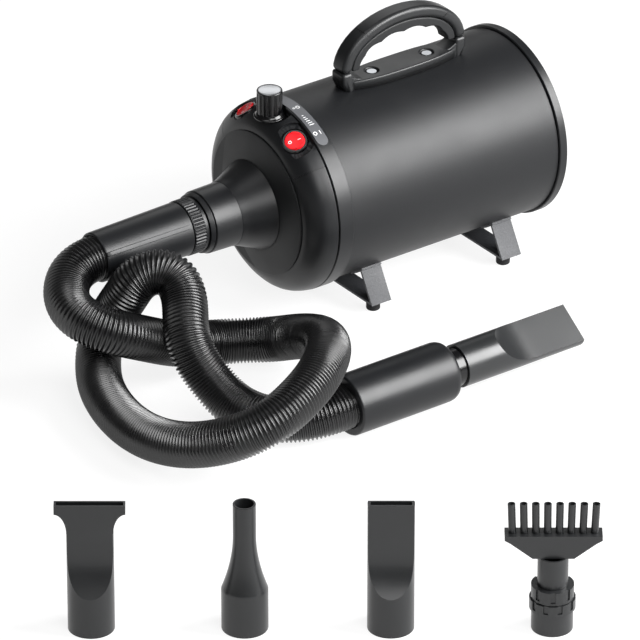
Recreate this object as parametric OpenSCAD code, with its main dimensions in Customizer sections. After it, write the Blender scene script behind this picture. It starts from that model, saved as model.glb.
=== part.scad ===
// Pet dryer: drum blower with a ribbed hose, a handset and four spare nozzles.
// Millimetres, +Z up, X along the drum with the outlet towards -X, floor at z = 0.

/* [Drum] */
// Outer radius of the steel drum
drum_r = 85; // [80:1:92]
// Thickness of the drum sheet
drum_wall = 1.2; // [0.8:0.1:2]
// Height of the drum axis above the floor
axis_h = 108; // [104:1:116]
// X of the front edge of the drum sheet
drum_front = -72; // [-76:1:-66]
// X of the rear edge of the drum sheet
drum_back = 166; // [160:1:180]

/* [Front] */
// Height that the front ring stands proud of the drum
ring_proud = 2.8; // [2:0.2:4]
// Width of the front ring over the drum
ring_lap = 12; // [8:1:16]
// Wall of the moulded cap, panel and cone
cap_wall = 2.5; // [2:0.1:3]
// Radius of the seam between the cap and its front panel
panel_r = 68; // [62:1:72]
// Radius of the cone where it leaves the panel
cone_r = 41; // [38:1:44]
// Radius of the outlet neck
neck_r = 28.5; // [27:0.5:30]
// Half angle that the label plate covers
label_half = 36; // [20:1:44]

/* [Controls] */
// Distance of the controls in front of the cap seam
ctrl_gap = 11; // [10:0.5:12]
// Distance of each switch from the middle plane
switch_y = 37.5; // [36:0.5:40]
// Height of the switch faces above the drum axis
switch_z = 73; // [72:0.5:74]
// Tilt of each switch from upright
switch_tilt = 35; // [32:1:38]
// Turn of each switch about the upright
switch_turn = 128; // [124:1:132]
// Turn of the switch marks in its own face
switch_roll = 20; // [0:5:40]
// Radius of the switch cut-out
cutout_r = 10; // [9.5:0.1:10.5]
// Radius of the rocker button
rocker_r = 8.9; // [8.4:0.1:9]
// Radius of the knob
knob_r = 11.4; // [10:0.2:13]
// Height of the knob
knob_h = 26; // [20:1:30]

/* [Handle] */
// Width of the handle arch
arch_w = 19; // [16:1:22]
// Height of the handle base above the drum
base_rise = 8; // [6:0.5:10]
// Spacing of the two handle screws
screw_span = 60.2; // [56:0.2:64]

/* [Feet] */
// Width of each foot strap along the drum
strap_w = 21; // [16:1:26]
// Thickness of the foot straps
strap_t = 2; // [1.6:0.2:2.6]
// Half width of the feet at the floor
foot_half = 70; // [66:1:76]
// Radius of a rubber foot
pad_r = 6.3; // [5:0.1:8]
// Height of a rubber foot
pad_h = 11; // [9:0.5:13]

/* [Hose and handset] */
// Outer diameter of the hose
hose_d = 40; // [38:0.5:40]
// Depth of one hose rib
rib_depth = 1.6; // [1:0.1:2]
// Number of hose ribs
rib_count = 196; // [120:4:200]
// Radius of the hose bore
hose_bore = 15.5; // [14:0.5:16]
// Radius of the handset grip
grip_r = 27; // [25:0.5:28]
// Length of the handset grip
grip_len = 107; // [90:1:120]

/* [Nozzles] */
// Outer radius of each nozzle socket
nozzle_r = 19.4; // [18.8:0.1:20]
// Wall of the nozzles
nozzle_wall = 1.8; // [1.4:0.1:2.2]
// Height of the standing nozzles
nozzle_h = 117; // [105:1:125]
// Length of the nozzle on the handset
fitted_len = 126; // [110:1:130]
// Width of the wide nozzle's mouth
wide_w = 58.4; // [50:0.4:66]
// Thickness of the flat mouths
mouth_t = 9; // [7:0.5:12]
// Number of comb tines
tines = 8; // [5:1:8]
// Distance between comb tines
tine_pitch = 9.6; // [9:0.1:10]

/* [Hidden] */
$fn = 96;
fit = 0.1;      // radial gap of a fixed fit
run = 0.3;      // gap beside a moving piece
bore_gap = 0.05; // radial running clearance of a shaft
seam = 0.6;     // width of the visible seams

// Front of the machine, measured forwards from the seam
seam_x = drum_front - 5;
ring_r = drum_r + ring_proud;
dome = [[0, 0.3], [9, 2.3], [15, 5.8], [20, 11.8], [24, 19.8]]; // forwards of seam, drop from ring_r
drum_in = drum_r - drum_wall;
panel_x = seam_x - 24;
cone_x = panel_x - 6.4;
neck_x = cone_x - 29.6;
lip_x = neck_x - 27;
spigot_x = lip_x - 5.5;
spigot_r = 20.5;
spigot_len = 26;
lock_len = 15.1;
lock_r = 25;
lock_notch = 0.7;
cuff_r = 24.5;
cuff_tail_r = 22.4;
cuff_bore = 17;
cuff_x = spigot_x - lock_len - seam;
cuff_len = 275 + cuff_x;
cuff_end = cuff_x - cuff_len;

// Controls
ctrl_x = seam_x - ctrl_gap;
deck_z = drum_r - 4.5;
boss_under = 8.5;
bush_r = 3.5;
shaft_r = 3;
pivot_drop = 2.5;
bezel_r = 11.5;
seat_drop = 3.5;
rocker_tip = 7;
body_depth = 12.5;

// Rear of the machine
rim_len = 8.2;
rim_lip = 8;
cover_x = drum_back + 0.1;
cover_t = 3;
rim_in = drum_r - 5;
intake_r = 50;
collar_t = 3;
collar_depth = 16;
gland_z = rim_in - 16;
gland_bore = 4;
gland_r = 7;
gland_out = 7;

// Motor, fan and heater
motor_r = 34;
motor_x = 30;
motor_len = 73.8;
axle_r = 4;
mount_t = 10;
fan_r = 58;
fan_x = motor_x + motor_len + 0.2;
fan_len = 32;
fan_wall = 2;
duct_r = 44;
duct_wall = 1.5;
duct_end_r = 35.3;
mouth_r = drum_in - 1.8;
mouth_neck = mouth_r - 12;
liner_gap = 0.4;
liner_t = 5.4;
heater_x = -55;
heater_len = 40;
coil_r = 30;

// Handle, along X from the middle of the drum
arch_front = -15;
arch_back = 119.5;
arch_end_z = drum_r + 17;
plate_half = 15;
screw_x = 22.5;
plate_front = 0;
plate_back = 112;
post_half = 12;
post_lip = 0.8;

// Feet
front_foot_x = -17;
rear_foot_x = 127;
leg_angle = 38.3;
tab_angle = 12;
pad_in = 13;
pad_screw_r = 2;

// Handset, lying along X on the floor
set_y = -222;
set_z = grip_r;
set_x = -168;
grip_end = set_x + grip_len;
fitted_x = grip_end + 12;
fitted_roll = 124.4;
adapter_len = 42;
adapter_r = nozzle_r - nozzle_wall - fit;

// Nozzle sockets, and the row of spare nozzles with its origin
socket_len = 36;
stop_t = 0.6;
row_turn = -36;
wide_at = [-525, -357];
round_at = [-423, -431];
narrow_at = [-326, -501];
comb_at = [-219, -579];
comb_w = 80;
comb_t = 15;
comb_bar_z = nozzle_h - 27;
comb_low_z = nozzle_h - 48;
x_low = wide_at[0] - wide_w / 2 * cos(row_turn) - mouth_t / 2 * sin(-row_turn);
x_high = cover_x + cover_t + gland_out;
y_low = comb_at[1] - comb_w / 2 * sin(-row_turn) - comb_t / 2 * cos(row_turn);
y_high = ring_r;
origin = [-(x_low + x_high) / 2, -(y_low + y_high) / 2, 0];

// Route of the hose, from inside the cuff to inside the grip: the centre of the bore
route = [[-256, 0, 108], [-272, 0, 108], [-288, 0, 107], [-304, -3, 101], [-318, -17, 93],
    [-325, -38, 88], [-319, -57, 82], [-303, -74, 76], [-275, -75, 62], [-243, -65, 42],
    [-213, -56, 27], [-186, -54, 20], [-160, -69, 20], [-143, -86, 23], [-136, -108, 34],
    [-140, -146, 52], [-162, -190, 72], [-190, -226, 83], [-218, -250, 84], [-246, -262, 78],
    [-270, -266, 70], [-292, -259, 60], [-310, -241, 48], [-325, -213, 36], [-332, -176, 26],
    [-332, -138, 21], [-326, -100, 20], [-315, -65, 22], [-303, -44, 28], [-293, -31, 37],
    [-285, -26, 47], [-277, -26, 60], [-272, -32, 74], [-270, -42, 89], [-263, -47, 105],
    [-248, -56, 113], [-236, -70, 108], [-239, -86, 93], [-251, -102, 83], [-257, -115, 72],
    [-256, -124, 57], [-248, -138, 38], [-241, -157, 23], [-234, -180, 20], [-222, -198, 20],
    [-204, -212, 21], [-186, -220, 25], [-168, -222, 27], [-148, -222, 27]];

// ---- shared shapes ----

// Puts the row's origin under the middle of everything but the hose
module placed() translate(origin) children();

// Places what follows in the frame whose X axis is the drum's axis
module on_axis() translate([0, 0, axis_h]) children();

// Turns a profile of [x, r] points about the drum's axis direction
module turned(points, angle = 360)
    rotate([0, 90, 0]) rotate_extrude(angle = angle)
        polygon([for (p = points) [p[1], p[0]]]);

// Ring between two radii and two places along X
module ring(x0, x1, r_in, r_out) turned([[x0, r_in], [x1, r_in], [x1, r_out], [x0, r_out]]);

// Rod along X
module rod(x0, x1, r) translate([x0, 0, 0]) rotate([0, 90, 0]) cylinder(r = r, h = x1 - x0);

// Outline in the Y-Z plane, thick along X
module slab(x0, x1) translate([x0, 0, 0]) rotate([90, 0, 90]) linear_extrude(x1 - x0) children();

// Outline in the X-Z plane, thick across Y
module plank(width) translate([0, width / 2, 0]) rotate([90, 0, 0]) linear_extrude(width) children();

// Copies around the X axis
module around(count, first = 0)
    for (i = [0:count - 1]) rotate([first + i * 360 / count, 0, 0]) children();

// Place and direction of one switch: side is -1 near, 1 far
module at_switch(side)
    translate([ctrl_x, side * switch_y, switch_z])
        rotate([0, 0, side * switch_turn]) rotate([0, switch_tilt, 0])
            rotate([0, 0, -side * (90 + switch_roll)]) children();

// Standing place in the row of nozzles
module stand(at) translate([at[0], at[1], 0]) rotate([0, 0, row_turn]) children();

// ---- drum and front ----

module drum_shell() color("#26272a") on_axis() difference() {
    ring(drum_front, drum_back, drum_in, drum_r);
    for (x = [screw_x, screw_x + screw_span])
        translate([x, 0, drum_r - 6]) cylinder(r = 2.2, h = 12);
    at_foot_screws() cylinder(r = 2.2, h = 12, center = true);
}

// Round hollow that the knob stands in
module knob_recess(depth = 0) translate([ctrl_x, 0, deck_z - depth]) cylinder(r = knob_r + 3.4, h = 30);

module front_trim_ring() color("#2b2c2f") on_axis() difference() {
    turned([[seam_x + seam, ring_r - 1], [seam_x + seam + 1, ring_r],
        [drum_front + ring_lap, ring_r], [drum_front + ring_lap, drum_r + fit],
        [drum_front - fit, drum_r + fit], [drum_front - fit, drum_r - 5],
        [seam_x, drum_r - 5], [seam_x, drum_r - 1], [seam_x + seam, drum_r - 1]]);
    knob_recess(2);
    for (s = [-1, 1]) at_switch(s) translate([0, 0, -20]) cylinder(r = bezel_r + 0.4, h = 21);
}

module label_plate() color("#4a4b4e") on_axis() rotate([180 - label_half, 0, 0])
    turned([[seam_x + 3.6, ring_r + 0.05], [seam_x + 15, ring_r + 0.05],
        [seam_x + 15, ring_r + 0.45], [seam_x + 3.6, ring_r + 0.45]], 2 * label_half);

function dome_line(inset) = [for (d = dome) [seam_x - d[0] + inset * 0.7, ring_r - d[1] - inset]];

module solid_dome() turned(concat([[seam_x, 0]], dome_line(0), [[panel_x, 0]]));

module front_cap() color("#1e1f21") on_axis() difference() {
    union() {
        turned(concat([[seam_x + 9, drum_r - 8], [seam_x + 9, drum_r - 5.2],
            [seam_x, drum_r - 5.2]], dome_line(0),
            [[panel_x, panel_r - 5], [panel_x + cap_wall, panel_r - 5]],
            [for (i = [3:-1:1]) dome_line(cap_wall)[i]], [[seam_x, drum_r - 8]]));
        intersection() {
            solid_dome();
            union() {
                for (s = [-1, 1]) at_switch(s) translate([0, 0, -9]) cylinder(r = 14.6, h = 20);
                translate([ctrl_x, 0, deck_z - boss_under]) cylinder(r = 16.4, h = 30);
            }
        }
    }
    for (s = [-1, 1]) at_switch(s) {
        translate([0, 0, -seat_drop]) cylinder(r = bezel_r + 1, h = 30);
        translate([0, 0, -20]) cylinder(r = cutout_r, h = 30);
    }
    knob_recess();
    translate([ctrl_x, 0, deck_z - 30]) cylinder(r = bush_r + fit, h = 40);
}

module front_panel() color("#191a1b") on_axis()
    turned([[panel_x - 0.1, panel_r - 1], [panel_x - 4.4, panel_r - 13],
        [cone_x - 0.2, cone_r + 2], [cone_x, cone_r + 0.5], [cone_x, duct_end_r + 0.9],
        [cone_x + cap_wall, duct_end_r + 0.9], [cone_x + cap_wall, cone_r + 1],
        [panel_x - 2.2, panel_r - 14], [panel_x - 0.1, panel_r - 8]]);

module outlet_cone() color("#1c1d1f") on_axis()
    turned([[panel_x, duct_end_r + 0.7], [cone_x - 0.1, duct_end_r + 0.7],
        [cone_x - 0.1, cone_r], [cone_x - 9, cone_r - 3.6], [cone_x - 19, neck_r + 4.3],
        [neck_x, neck_r + 0.8],
        [lip_x, neck_r], [lip_x, neck_r - 1.4], [lip_x - 1.2, neck_r - 1.4],
        [lip_x - 1.2, neck_r - 0.9], [spigot_x, neck_r - 2], [spigot_x, spigot_r],
        [spigot_x - lock_len - 3, spigot_r], [spigot_x - lock_len - 3, spigot_r - 1.6],
        [spigot_x - lock_len - 6, spigot_r - 1.6], [spigot_x - lock_len - 6, spigot_r],
        [spigot_x - spigot_len, spigot_r], [spigot_x - spigot_len, spigot_r - cap_wall],
        [neck_x, spigot_r - cap_wall], [cone_x - 4, duct_end_r - 3],
        [panel_x, duct_end_r - 3]]);

module outlet_seal() color("#0d0d0e") on_axis()
    ring(spigot_x - lock_len - 5.7, spigot_x - lock_len - 3.3, spigot_r - 1.5, spigot_r + 0.3);

// ---- controls ----

module potentiometer() color("#8d9094") on_axis() translate([ctrl_x, 0, 0]) difference() {
    union() {
        translate([0, 0, deck_z - boss_under - 8]) cylinder(r = 8, h = 8);
        translate([0, 0, deck_z - boss_under - 1]) cylinder(r = bush_r, h = boss_under + 5);
    }
    translate([0, 0, deck_z - boss_under - 6]) cylinder(r = shaft_r + bore_gap, h = 40);
}

module pot_nut() color("#c9a94a") on_axis() translate([ctrl_x, 0, deck_z]) difference() {
    cylinder(r = 6, h = 2, $fn = 6);
    translate([0, 0, -1]) cylinder(r = bush_r + bore_gap, h = 4);
}

module pot_shaft() color("#b8babd") on_axis()
    translate([ctrl_x, 0, deck_z - boss_under - 5.7]) cylinder(r = shaft_r, h = boss_under + 20);

module knob() color("#0c0c0d") on_axis() translate([ctrl_x, 0, deck_z + 0.6]) difference() {
    union() {
        rotate_extrude() polygon([[0, 0], [knob_r + 2.6, 0], [knob_r + 2.6, 1.6],
            [knob_r + 1, 3.6], [knob_r - 0.6, 5], [0, 5]]);
        translate([0, 0, 4]) linear_extrude(knob_h - 4.8) polygon([for (i = [0:47])
            let (a = i * 7.5, r = knob_r - (i % 3 == 0 ? 0.9 : 0)) [r * cos(a), r * sin(a)]]);
    }
    translate([0, 0, -1]) cylinder(r = 7, h = 6);
    translate([0, 0, -1]) cylinder(r = shaft_r + 0.02, h = 17);
    translate([0, 0, knob_h - 1.8]) cylinder(r = knob_r - 1.6, h = 3);
}

module knob_cap() color("#c9cbce") on_axis()
    translate([ctrl_x, 0, deck_z + knob_h - 1.2]) rotate_extrude()
        polygon([[0, 0], [knob_r - 1.7, 0], [knob_r - 1.7, 1.2], [knob_r - 2.4, 1.8], [0, 1.8]]);

// Round housing of a rocker switch, with its pit for the rocker
module bezel(side) color("#111112") on_axis() at_switch(side) difference() {
    union() {
        translate([0, 0, -seat_drop]) rotate_extrude() polygon([[0, 0], [bezel_r, 0],
            [bezel_r, 1.6], [bezel_r - 1, 2.8], [0, 2.8]]);
        translate([0, 0, -seat_drop - body_depth]) cylinder(r = cutout_r - fit, h = body_depth + 1);
    }
    translate([0, 0, -pivot_drop - 8]) cylinder(r = rocker_r + run + 0.1, h = 20);
}

// Rocker: a ball slice with two paddle faces, standing with one half pressed
module rocker(side) color("#d8121c") on_axis() at_switch(side) translate([0, 0, -pivot_drop])
    rotate([0, -rocker_tip, 0]) difference() {
        intersection() {
            sphere(r = rocker_r + 0.1);
            translate([-15, -15, -5]) cube([30, 30, 9]);
        }
        for (s = [0, 180]) rotate([0, 0, s]) rotate([0, rocker_tip, 0])
            translate([0, -15, 3.2]) cube([20, 30, 10]);
        rotate([90, 0, 0]) cylinder(r = 1.2 + bore_gap, h = 40, center = true);
    }

// The pin of each rocker is moulded on its housing
module rocker_pin(side) on_axis() at_switch(side) translate([0, 0, -pivot_drop])
    rotate([90, 0, 0]) cylinder(r = 1.2, h = 2 * rocker_r + 1.4, center = true);

module power_bezel() color("#111112") union() { bezel(-1); rocker_pin(-1); }
module heat_bezel() color("#111112") union() { bezel(1); rocker_pin(1); }
module power_rocker() rocker(-1);
module heat_rocker() rocker(1);

module control_board() color("#1f5a35") on_axis()
    translate([ctrl_x - 9, -18, deck_z - boss_under - 9.7]) cube([21, 36, 1.6]);

// ---- rear ----

module rear_rim() color("#1c1d1f") on_axis() difference() {
    turned([[drum_back - 8, drum_in - fit], [drum_back + 0.5, drum_in - fit],
        [drum_back + 0.5, drum_r + 1.6], [drum_back + 1.2, ring_r - 0.4],
        [drum_back + rim_len, ring_r - 0.4], [drum_back + rim_len, rim_in],
        [drum_back, rim_in], [drum_back, rim_in - rim_lip],
        [drum_back - 3, rim_in - rim_lip], [drum_back - 3, rim_in], [drum_back - 8, rim_in]]);
    at_rear_screws() rod(drum_back - 6, drum_back + 2, 1.7);
}

module rear_cover() color("#18191a") on_axis() difference() {
    union() {
        ring(cover_x, cover_x + cover_t, intake_r, rim_in - fit);
        ring(cover_x - collar_depth, cover_x + 1, intake_r, intake_r + collar_t);
        ring(cover_x - collar_depth - 2, cover_x - collar_depth, intake_r - 4, intake_r + collar_t);
    }
    translate([0, 0, -gland_z]) rod(cover_x - 2, cover_x + 8, gland_r + fit);
    at_rear_screws() rod(cover_x - 2, cover_x + 8, 1.7);
}

module at_rear_screws() for (a = [45, 135, 225, 315]) rotate([a, 0, 0])
    translate([0, 0, rim_in - rim_lip / 2]) children();

module rear_screws() color("#9c9fa3") on_axis() at_rear_screws() {
    rod(cover_x + cover_t, cover_x + cover_t + 1.8, 3.2);
    rod(cover_x - 6, cover_x + cover_t + 0.5, 1.6);
}

// Disc with rings of slots, for the intake
module slotted(x, t, r) difference() {
    rod(x, x + t, r);
    for (q = [12:8:r - 8]) ring(x - 1, x + t + 1, q, q + 4.5);
}

module spokes(x, t, r) around(6) translate([x, -1.5, 0]) cube([t, 3, r]);

module rear_grille() color("#202123") on_axis() union() {
    slotted(cover_x - collar_depth + 0.05, 2, intake_r - 0.3);
    spokes(cover_x - collar_depth + 0.05, 2, intake_r - 2);
}

module filter_foam() color("#3a3b3d") on_axis()
    rod(cover_x - collar_depth + 2.15, cover_x - collar_depth + 8, intake_r - 1);

module filter_cover() color("#161718") on_axis() union() {
    ring(cover_x - collar_depth + 8.3, cover_x + cover_t + 0.5, intake_r - 3, intake_r - run);
    ring(cover_x + cover_t + 0.1, cover_x + cover_t + 2.5, intake_r - 3, intake_r + 3.5);
    slotted(cover_x + cover_t + 0.1, 2.4, intake_r - 2);
    spokes(cover_x + cover_t + 0.1, 2.4, intake_r - 1);
}

module cord_gland() color("#101011") on_axis() translate([0, 0, -gland_z])
    turned([[cover_x - 8, gland_bore], [cover_x + cover_t + gland_out, gland_bore],
        [cover_x + cover_t + gland_out, gland_bore + 2],
        [cover_x + cover_t + 2.2, gland_bore + 3.6], [cover_x + cover_t + 2.2, gland_r + 2],
        [cover_x + cover_t, gland_r + 2], [cover_x + cover_t, gland_r], [cover_x - 8, gland_r]]);

module terminal_block() color("#d9d4c5") on_axis()
    translate([cover_x - 10.1, 12, -gland_z]) cube([10, 18, 8]);

// ---- handle ----

// Rise of the arch's outer line above the drum axis at fraction t of its length
function arc_pt(cx, cz, rx, rz, a) = [cx + rx * cos(a), cz + rz * sin(a)];
arch_cx = (arch_front + arch_back) / 2;
arch_rx = (arch_back - arch_front) / 2;
arch_top = drum_r + 61.5;
arch_bar = 11;
arch_steps = 24;
arch_outer = [for (i = [0:arch_steps]) let (a = 180 - 180 * i / arch_steps)
    arc_pt(arch_cx, arch_end_z, arch_rx, arch_top - arch_end_z, a)];
arch_middle = [for (i = [0:arch_steps]) let (a = 180 * i / arch_steps)
    arc_pt(arch_cx, arch_end_z, arch_rx - arch_bar, arch_top - arch_end_z - arch_bar, a)];

module handle_arch() color("#1b1c1e") on_axis() plank(arch_w)
    polygon(concat(arch_outer, arch_middle));

// Lower grip strip, with its finger scallops
module handle_grip() color("#141516") on_axis() plank(arch_w - 3) polygon(concat(
    [for (i = [0:arch_steps]) let (a = 180 - 180 * i / arch_steps)
        arc_pt(arch_cx, arch_end_z, arch_rx - arch_bar - fit,
            arch_top - arch_end_z - arch_bar - fit, a)],
    [for (i = [0:2 * arch_steps]) let (a = 180 * i / arch_steps / 2,
        dip = a > 30 && a < 150 ? 2.2 * abs(sin((a - 30) * 6)) : 0)
        arc_pt(arch_cx, arch_end_z, arch_rx - arch_bar - 8 + dip,
            arch_top - arch_end_z - arch_bar - 10.5 + dip, a)]));

module handle_base() color("#1d1e20") on_axis() difference() {
    union() {
        linear_extrude(drum_r + base_rise) polygon([[plate_front - 4, -post_half],
            [plate_front + 12, -plate_half], [plate_back - 12, -plate_half],
            [plate_back + 4, -post_half], [plate_back + 4, post_half],
            [plate_back - 12, plate_half], [plate_front + 12, plate_half],
            [plate_front - 4, post_half]]);
        for (x = [arch_front, arch_back - arch_bar - 8])
            translate([x, -arch_w / 2 - post_lip, 0])
                cube([arch_bar + 8, arch_w + 2 * post_lip, arch_end_z - 0.1]);
    }
    rod(arch_front - 5, arch_back + 5, drum_r + fit);
    translate([arch_front - 5, -60, -120]) cube([160, 120, 125]);
    for (x = [screw_x, screw_x + screw_span]) {
        translate([x, 0, drum_r + base_rise - 3]) cylinder(r = 6, h = 10);
        translate([x, 0, drum_r - 5]) cylinder(r = 2.2, h = 30);
    }
}

module handle_screws() color("#c4c6c9") on_axis()
    for (x = [screw_x, screw_x + screw_span]) translate([x, 0, 0]) {
        translate([0, 0, drum_r + base_rise - 3]) cylinder(r = 4.6, h = 2.2);
        translate([0, 0, drum_in - 6]) cylinder(r = 2, h = base_rise + 6);
        translate([0, 0, drum_in - 3.4]) cylinder(r = 4, h = 3.2);
    }

// ---- feet ----

// Radial places of the screws that hold the straps
module at_foot_screws() for (x = [front_foot_x, rear_foot_x], s = [-1, 1])
    translate([x, 0, 0]) rotate([s * (leg_angle - tab_angle / 2), 0, 0])
        translate([0, 0, -drum_r]) children();

// Cross-bar and two legs in one outline
module strap_outline() {
    top = [drum_r * sin(leg_angle), -drum_r * cos(leg_angle)];
    low = pad_h - axis_h;
    side = strap_t * 1.2;
    polygon([[-top[0], top[1]], [-foot_half, low], [foot_half, low], [top[0], top[1]],
        [top[0] - side, top[1]], [foot_half - 1.7 * side, low + strap_t],
        [-foot_half + 1.7 * side, low + strap_t], [-top[0] + side, top[1]]]);
}

// Bent strap with two legs, a cross-bar and a tab on each leg
module foot_bracket(x) color("#2e2f32") on_axis() difference() {
    union() {
        slab(x - strap_w / 2, x + strap_w / 2) strap_outline();
        for (s = [-1, 1]) intersection() {
            ring(x - strap_w / 2, x + strap_w / 2, drum_r - 2, drum_r + fit + strap_t);
            slab(x - strap_w, x + strap_w) polygon([[0, 0],
                [s * 120 * sin(leg_angle + 1), -120 * cos(leg_angle + 1)],
                [s * 120 * sin(leg_angle - tab_angle), -120 * cos(leg_angle - tab_angle)]]);
        }
    }
    rod(x - strap_w, x + strap_w, drum_r + fit);
    at_foot_screws() cylinder(r = 2.2, h = 12, center = true);
    for (s = [-1, 1]) translate([x, s * (foot_half - pad_in), -axis_h])
        cylinder(r = pad_screw_r + 0.2, h = pad_h + 10);
}

module front_foot_bracket() foot_bracket(front_foot_x);
module rear_foot_bracket() foot_bracket(rear_foot_x);

module rubber_feet() color("#0f0f10")
    for (x = [front_foot_x, rear_foot_x], s = [-1, 1])
        translate([x, s * (foot_half - pad_in), 0]) difference() {
            rotate_extrude() polygon([[0, 0], [pad_r - 1, 0], [pad_r, 1], [pad_r, pad_h], [0, pad_h]]);
            translate([0, 0, pad_h - 7]) cylinder(r = pad_screw_r + 0.2, h = 8);
        }

module foot_screws() color("#85888c") {
    on_axis() at_foot_screws() {
        translate([0, 0, -strap_t - 2.1]) cylinder(r = 3.6, h = 2);
        translate([0, 0, -strap_t - 1]) cylinder(r = 2, h = strap_t + 6);
    }
    for (x = [front_foot_x, rear_foot_x], s = [-1, 1])
        translate([x, s * (foot_half - pad_in), 0]) {
            translate([0, 0, pad_h + strap_t]) cylinder(r = 3.6, h = 2);
            translate([0, 0, pad_h - 6]) cylinder(r = pad_screw_r, h = strap_t + 7);
        }
}

// ---- motor, fan and heater ----

module motor_body() color("#7d8085") on_axis() difference() {
    union() {
        rod(motor_x, motor_x + motor_len, motor_r);
        rod(motor_x - 6, motor_x + 1, 12);
    }
    rod(motor_x - 10, motor_x + motor_len + 5, axle_r + bore_gap);
}

module motor_shaft() color("#b5b8bb") on_axis() rod(motor_x - 4, fan_x + 24, axle_r);

module motor_mount(x) color("#141414") on_axis() difference() {
    ring(x, x + mount_t, motor_r + fit, drum_in - fit);
    around(6) translate([0, 0, (motor_r + drum_in) / 2]) rod(x - 1, x + mount_t + 1, 14);
}

module motor_mount_front() motor_mount(motor_x);
module motor_mount_rear() motor_mount(motor_x + motor_len - 16);

module fan_housing() color("#a3a6aa") on_axis() difference() {
    turned([[fan_x, 12], [fan_x + fan_wall, 12], [fan_x + fan_wall, fan_r - fan_wall],
        [fan_x + fan_len - fan_wall, fan_r - fan_wall], [fan_x + fan_len - fan_wall, 22],
        [fan_x + fan_len, 22], [fan_x + fan_len, fan_r], [fan_x, fan_r]]);
    around(6) translate([0, 0, 44]) rod(fan_x - 1, fan_x + 3, 8);
}

module impeller() color("#c3c5c8") on_axis() difference() {
    union() {
        rod(fan_x + 6, fan_x + 8, fan_r - 8);
        rod(fan_x + 6, fan_x + 22, 9);
        around(9) translate([fan_x + 7, 7, 8]) rotate([20, 0, 0]) cube([14, 1.6, fan_r - 22]);
    }
    rod(fan_x, fan_x + fan_len, axle_r + 0.02);
}

module air_duct() color("#9a9b98") on_axis()
    turned([[motor_x - 0.1, mouth_r], [motor_x - 3, mouth_r], [motor_x - 3, mouth_neck], [-10, duct_r],
        [heater_x - 5, duct_r], [panel_x + 0.3, duct_end_r], [panel_x + 0.3, duct_end_r - duct_wall],
        [heater_x - 5, duct_r - duct_wall], [-10, duct_r - duct_wall],
        [motor_x - 3, mouth_neck - duct_wall], [motor_x - 0.1, mouth_neck - duct_wall]]);

module heater_frame() color("#cfc6a8") on_axis() difference() {
    union() {
        ring(heater_x, heater_x + heater_len, duct_r - duct_wall - 2.3, duct_r - duct_wall - 0.2);
        for (a = [0, 90]) rotate([a, 0, 0])
            translate([heater_x, -0.8, -(duct_r - duct_wall - 1)])
                cube([heater_len, 1.6, 2 * (duct_r - duct_wall - 1)]);
    }
    coils(1.5);
}

module coils(r) for (i = [0:4]) translate([heater_x + 6 + 7 * i, 0, 0])
    rotate([0, 90, 0]) rotate_extrude() translate([coil_r, 0]) circle(r = r, $fn = 24);

module heater_coil() color("#a9703c") on_axis() coils(1.2);

module foam_liner() color("#2a2a2a") on_axis() difference() {
    ring(heater_x + 5, motor_x - 4, drum_in - liner_gap - liner_t, drum_in - liner_gap);
    translate([screw_x, 0, drum_in - 10]) cylinder(r = 4.5, h = 12);
    at_foot_screws() cylinder(r = 2.6, h = 4 * liner_t, center = true);
}

// ---- outlet, hose and handset ----

lock_teeth = 48;

module lock_ring() color("#17181a") on_axis() difference() {
    translate([spigot_x - lock_len - 0.3, 0, 0]) rotate([0, 90, 0]) linear_extrude(lock_len)
        polygon([for (i = [0:2 * lock_teeth - 1]) let (a = i * 180 / lock_teeth,
            r = lock_r - (i % 2 == 0 ? 0 : lock_notch)) [r * cos(a), r * sin(a)]]);
    rod(spigot_x - 30, spigot_x + 5, spigot_r + bore_gap);
}

module machine_cuff() color("#1c1d20") on_axis() difference() {
    union() {
        turned([[cuff_x, cuff_bore], [cuff_x, cuff_r], [cuff_end, cuff_tail_r], [cuff_end, cuff_bore]]);
        for (a = [60, 240]) rotate([a, 0, 0])
            translate([cuff_end, -2, cuff_tail_r - 2.4]) cube([cuff_len, 4, 4.6]);
    }
    rod(spigot_x - spigot_len - 0.5, cuff_x + 5, spigot_r + 0.4);
    rod(cuff_end - 5, cuff_end + 19.2, hose_d / 2 + 0.4);
    rod(cuff_end - 5, cuff_x + 5, cuff_bore + 0.5);
}

// Cubic through the route: point and direction at u, counted in route points
last = len(route) - 1;
function at(i) = i < 0 ? 2 * route[0] - route[1]
    : i > last ? 2 * route[last] - route[last - 1] : route[i];
function curve(u) = let (i = min(floor(u), last - 1), t = u - i)
    (pow(1 - t, 3) * at(i - 1) + (3 * pow(t, 3) - 6 * t * t + 4) * at(i)
    + (-3 * pow(t, 3) + 3 * t * t + 3 * t + 1) * at(i + 1) + pow(t, 3) * at(i + 2)) / 6;
function unit(v) = v / norm(v);

// Even steps along the hose: the curve is measured finely, then read at equal lengths
fine = 12 * last;
samples = [for (k = [0:fine]) curve(k / 12)];
run_len = [for (k = 0, s = 0; k <= fine; k = k + 1,
    s = s + (k <= fine ? norm(samples[k] - samples[k - 1]) : 0)) s];
hose_len = run_len[fine];
function reading(s, a = 0, b = fine) = b - a < 2 ? a + (s - run_len[a]) / (run_len[b] - run_len[a])
    : let (m = floor((a + b) / 2)) run_len[m] > s ? reading(s, a, m) : reading(s, m, b);
function along(s) = curve(reading(s) / 12);

// Frames carried along the hose without twist
function carried(n, t) = unit(n - (n * t) * t);
function headings(s, d = 0.5) = unit(along(min(s + d, hose_len)) - along(max(s - d, 0)));
function frames(list) = [for (k = 0, n = carried([0, 0, 1], headings(list[0])); k < len(list);
    k = k + 1, n = k < len(list) ? carried(n, headings(list[k])) : n) n];

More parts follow.
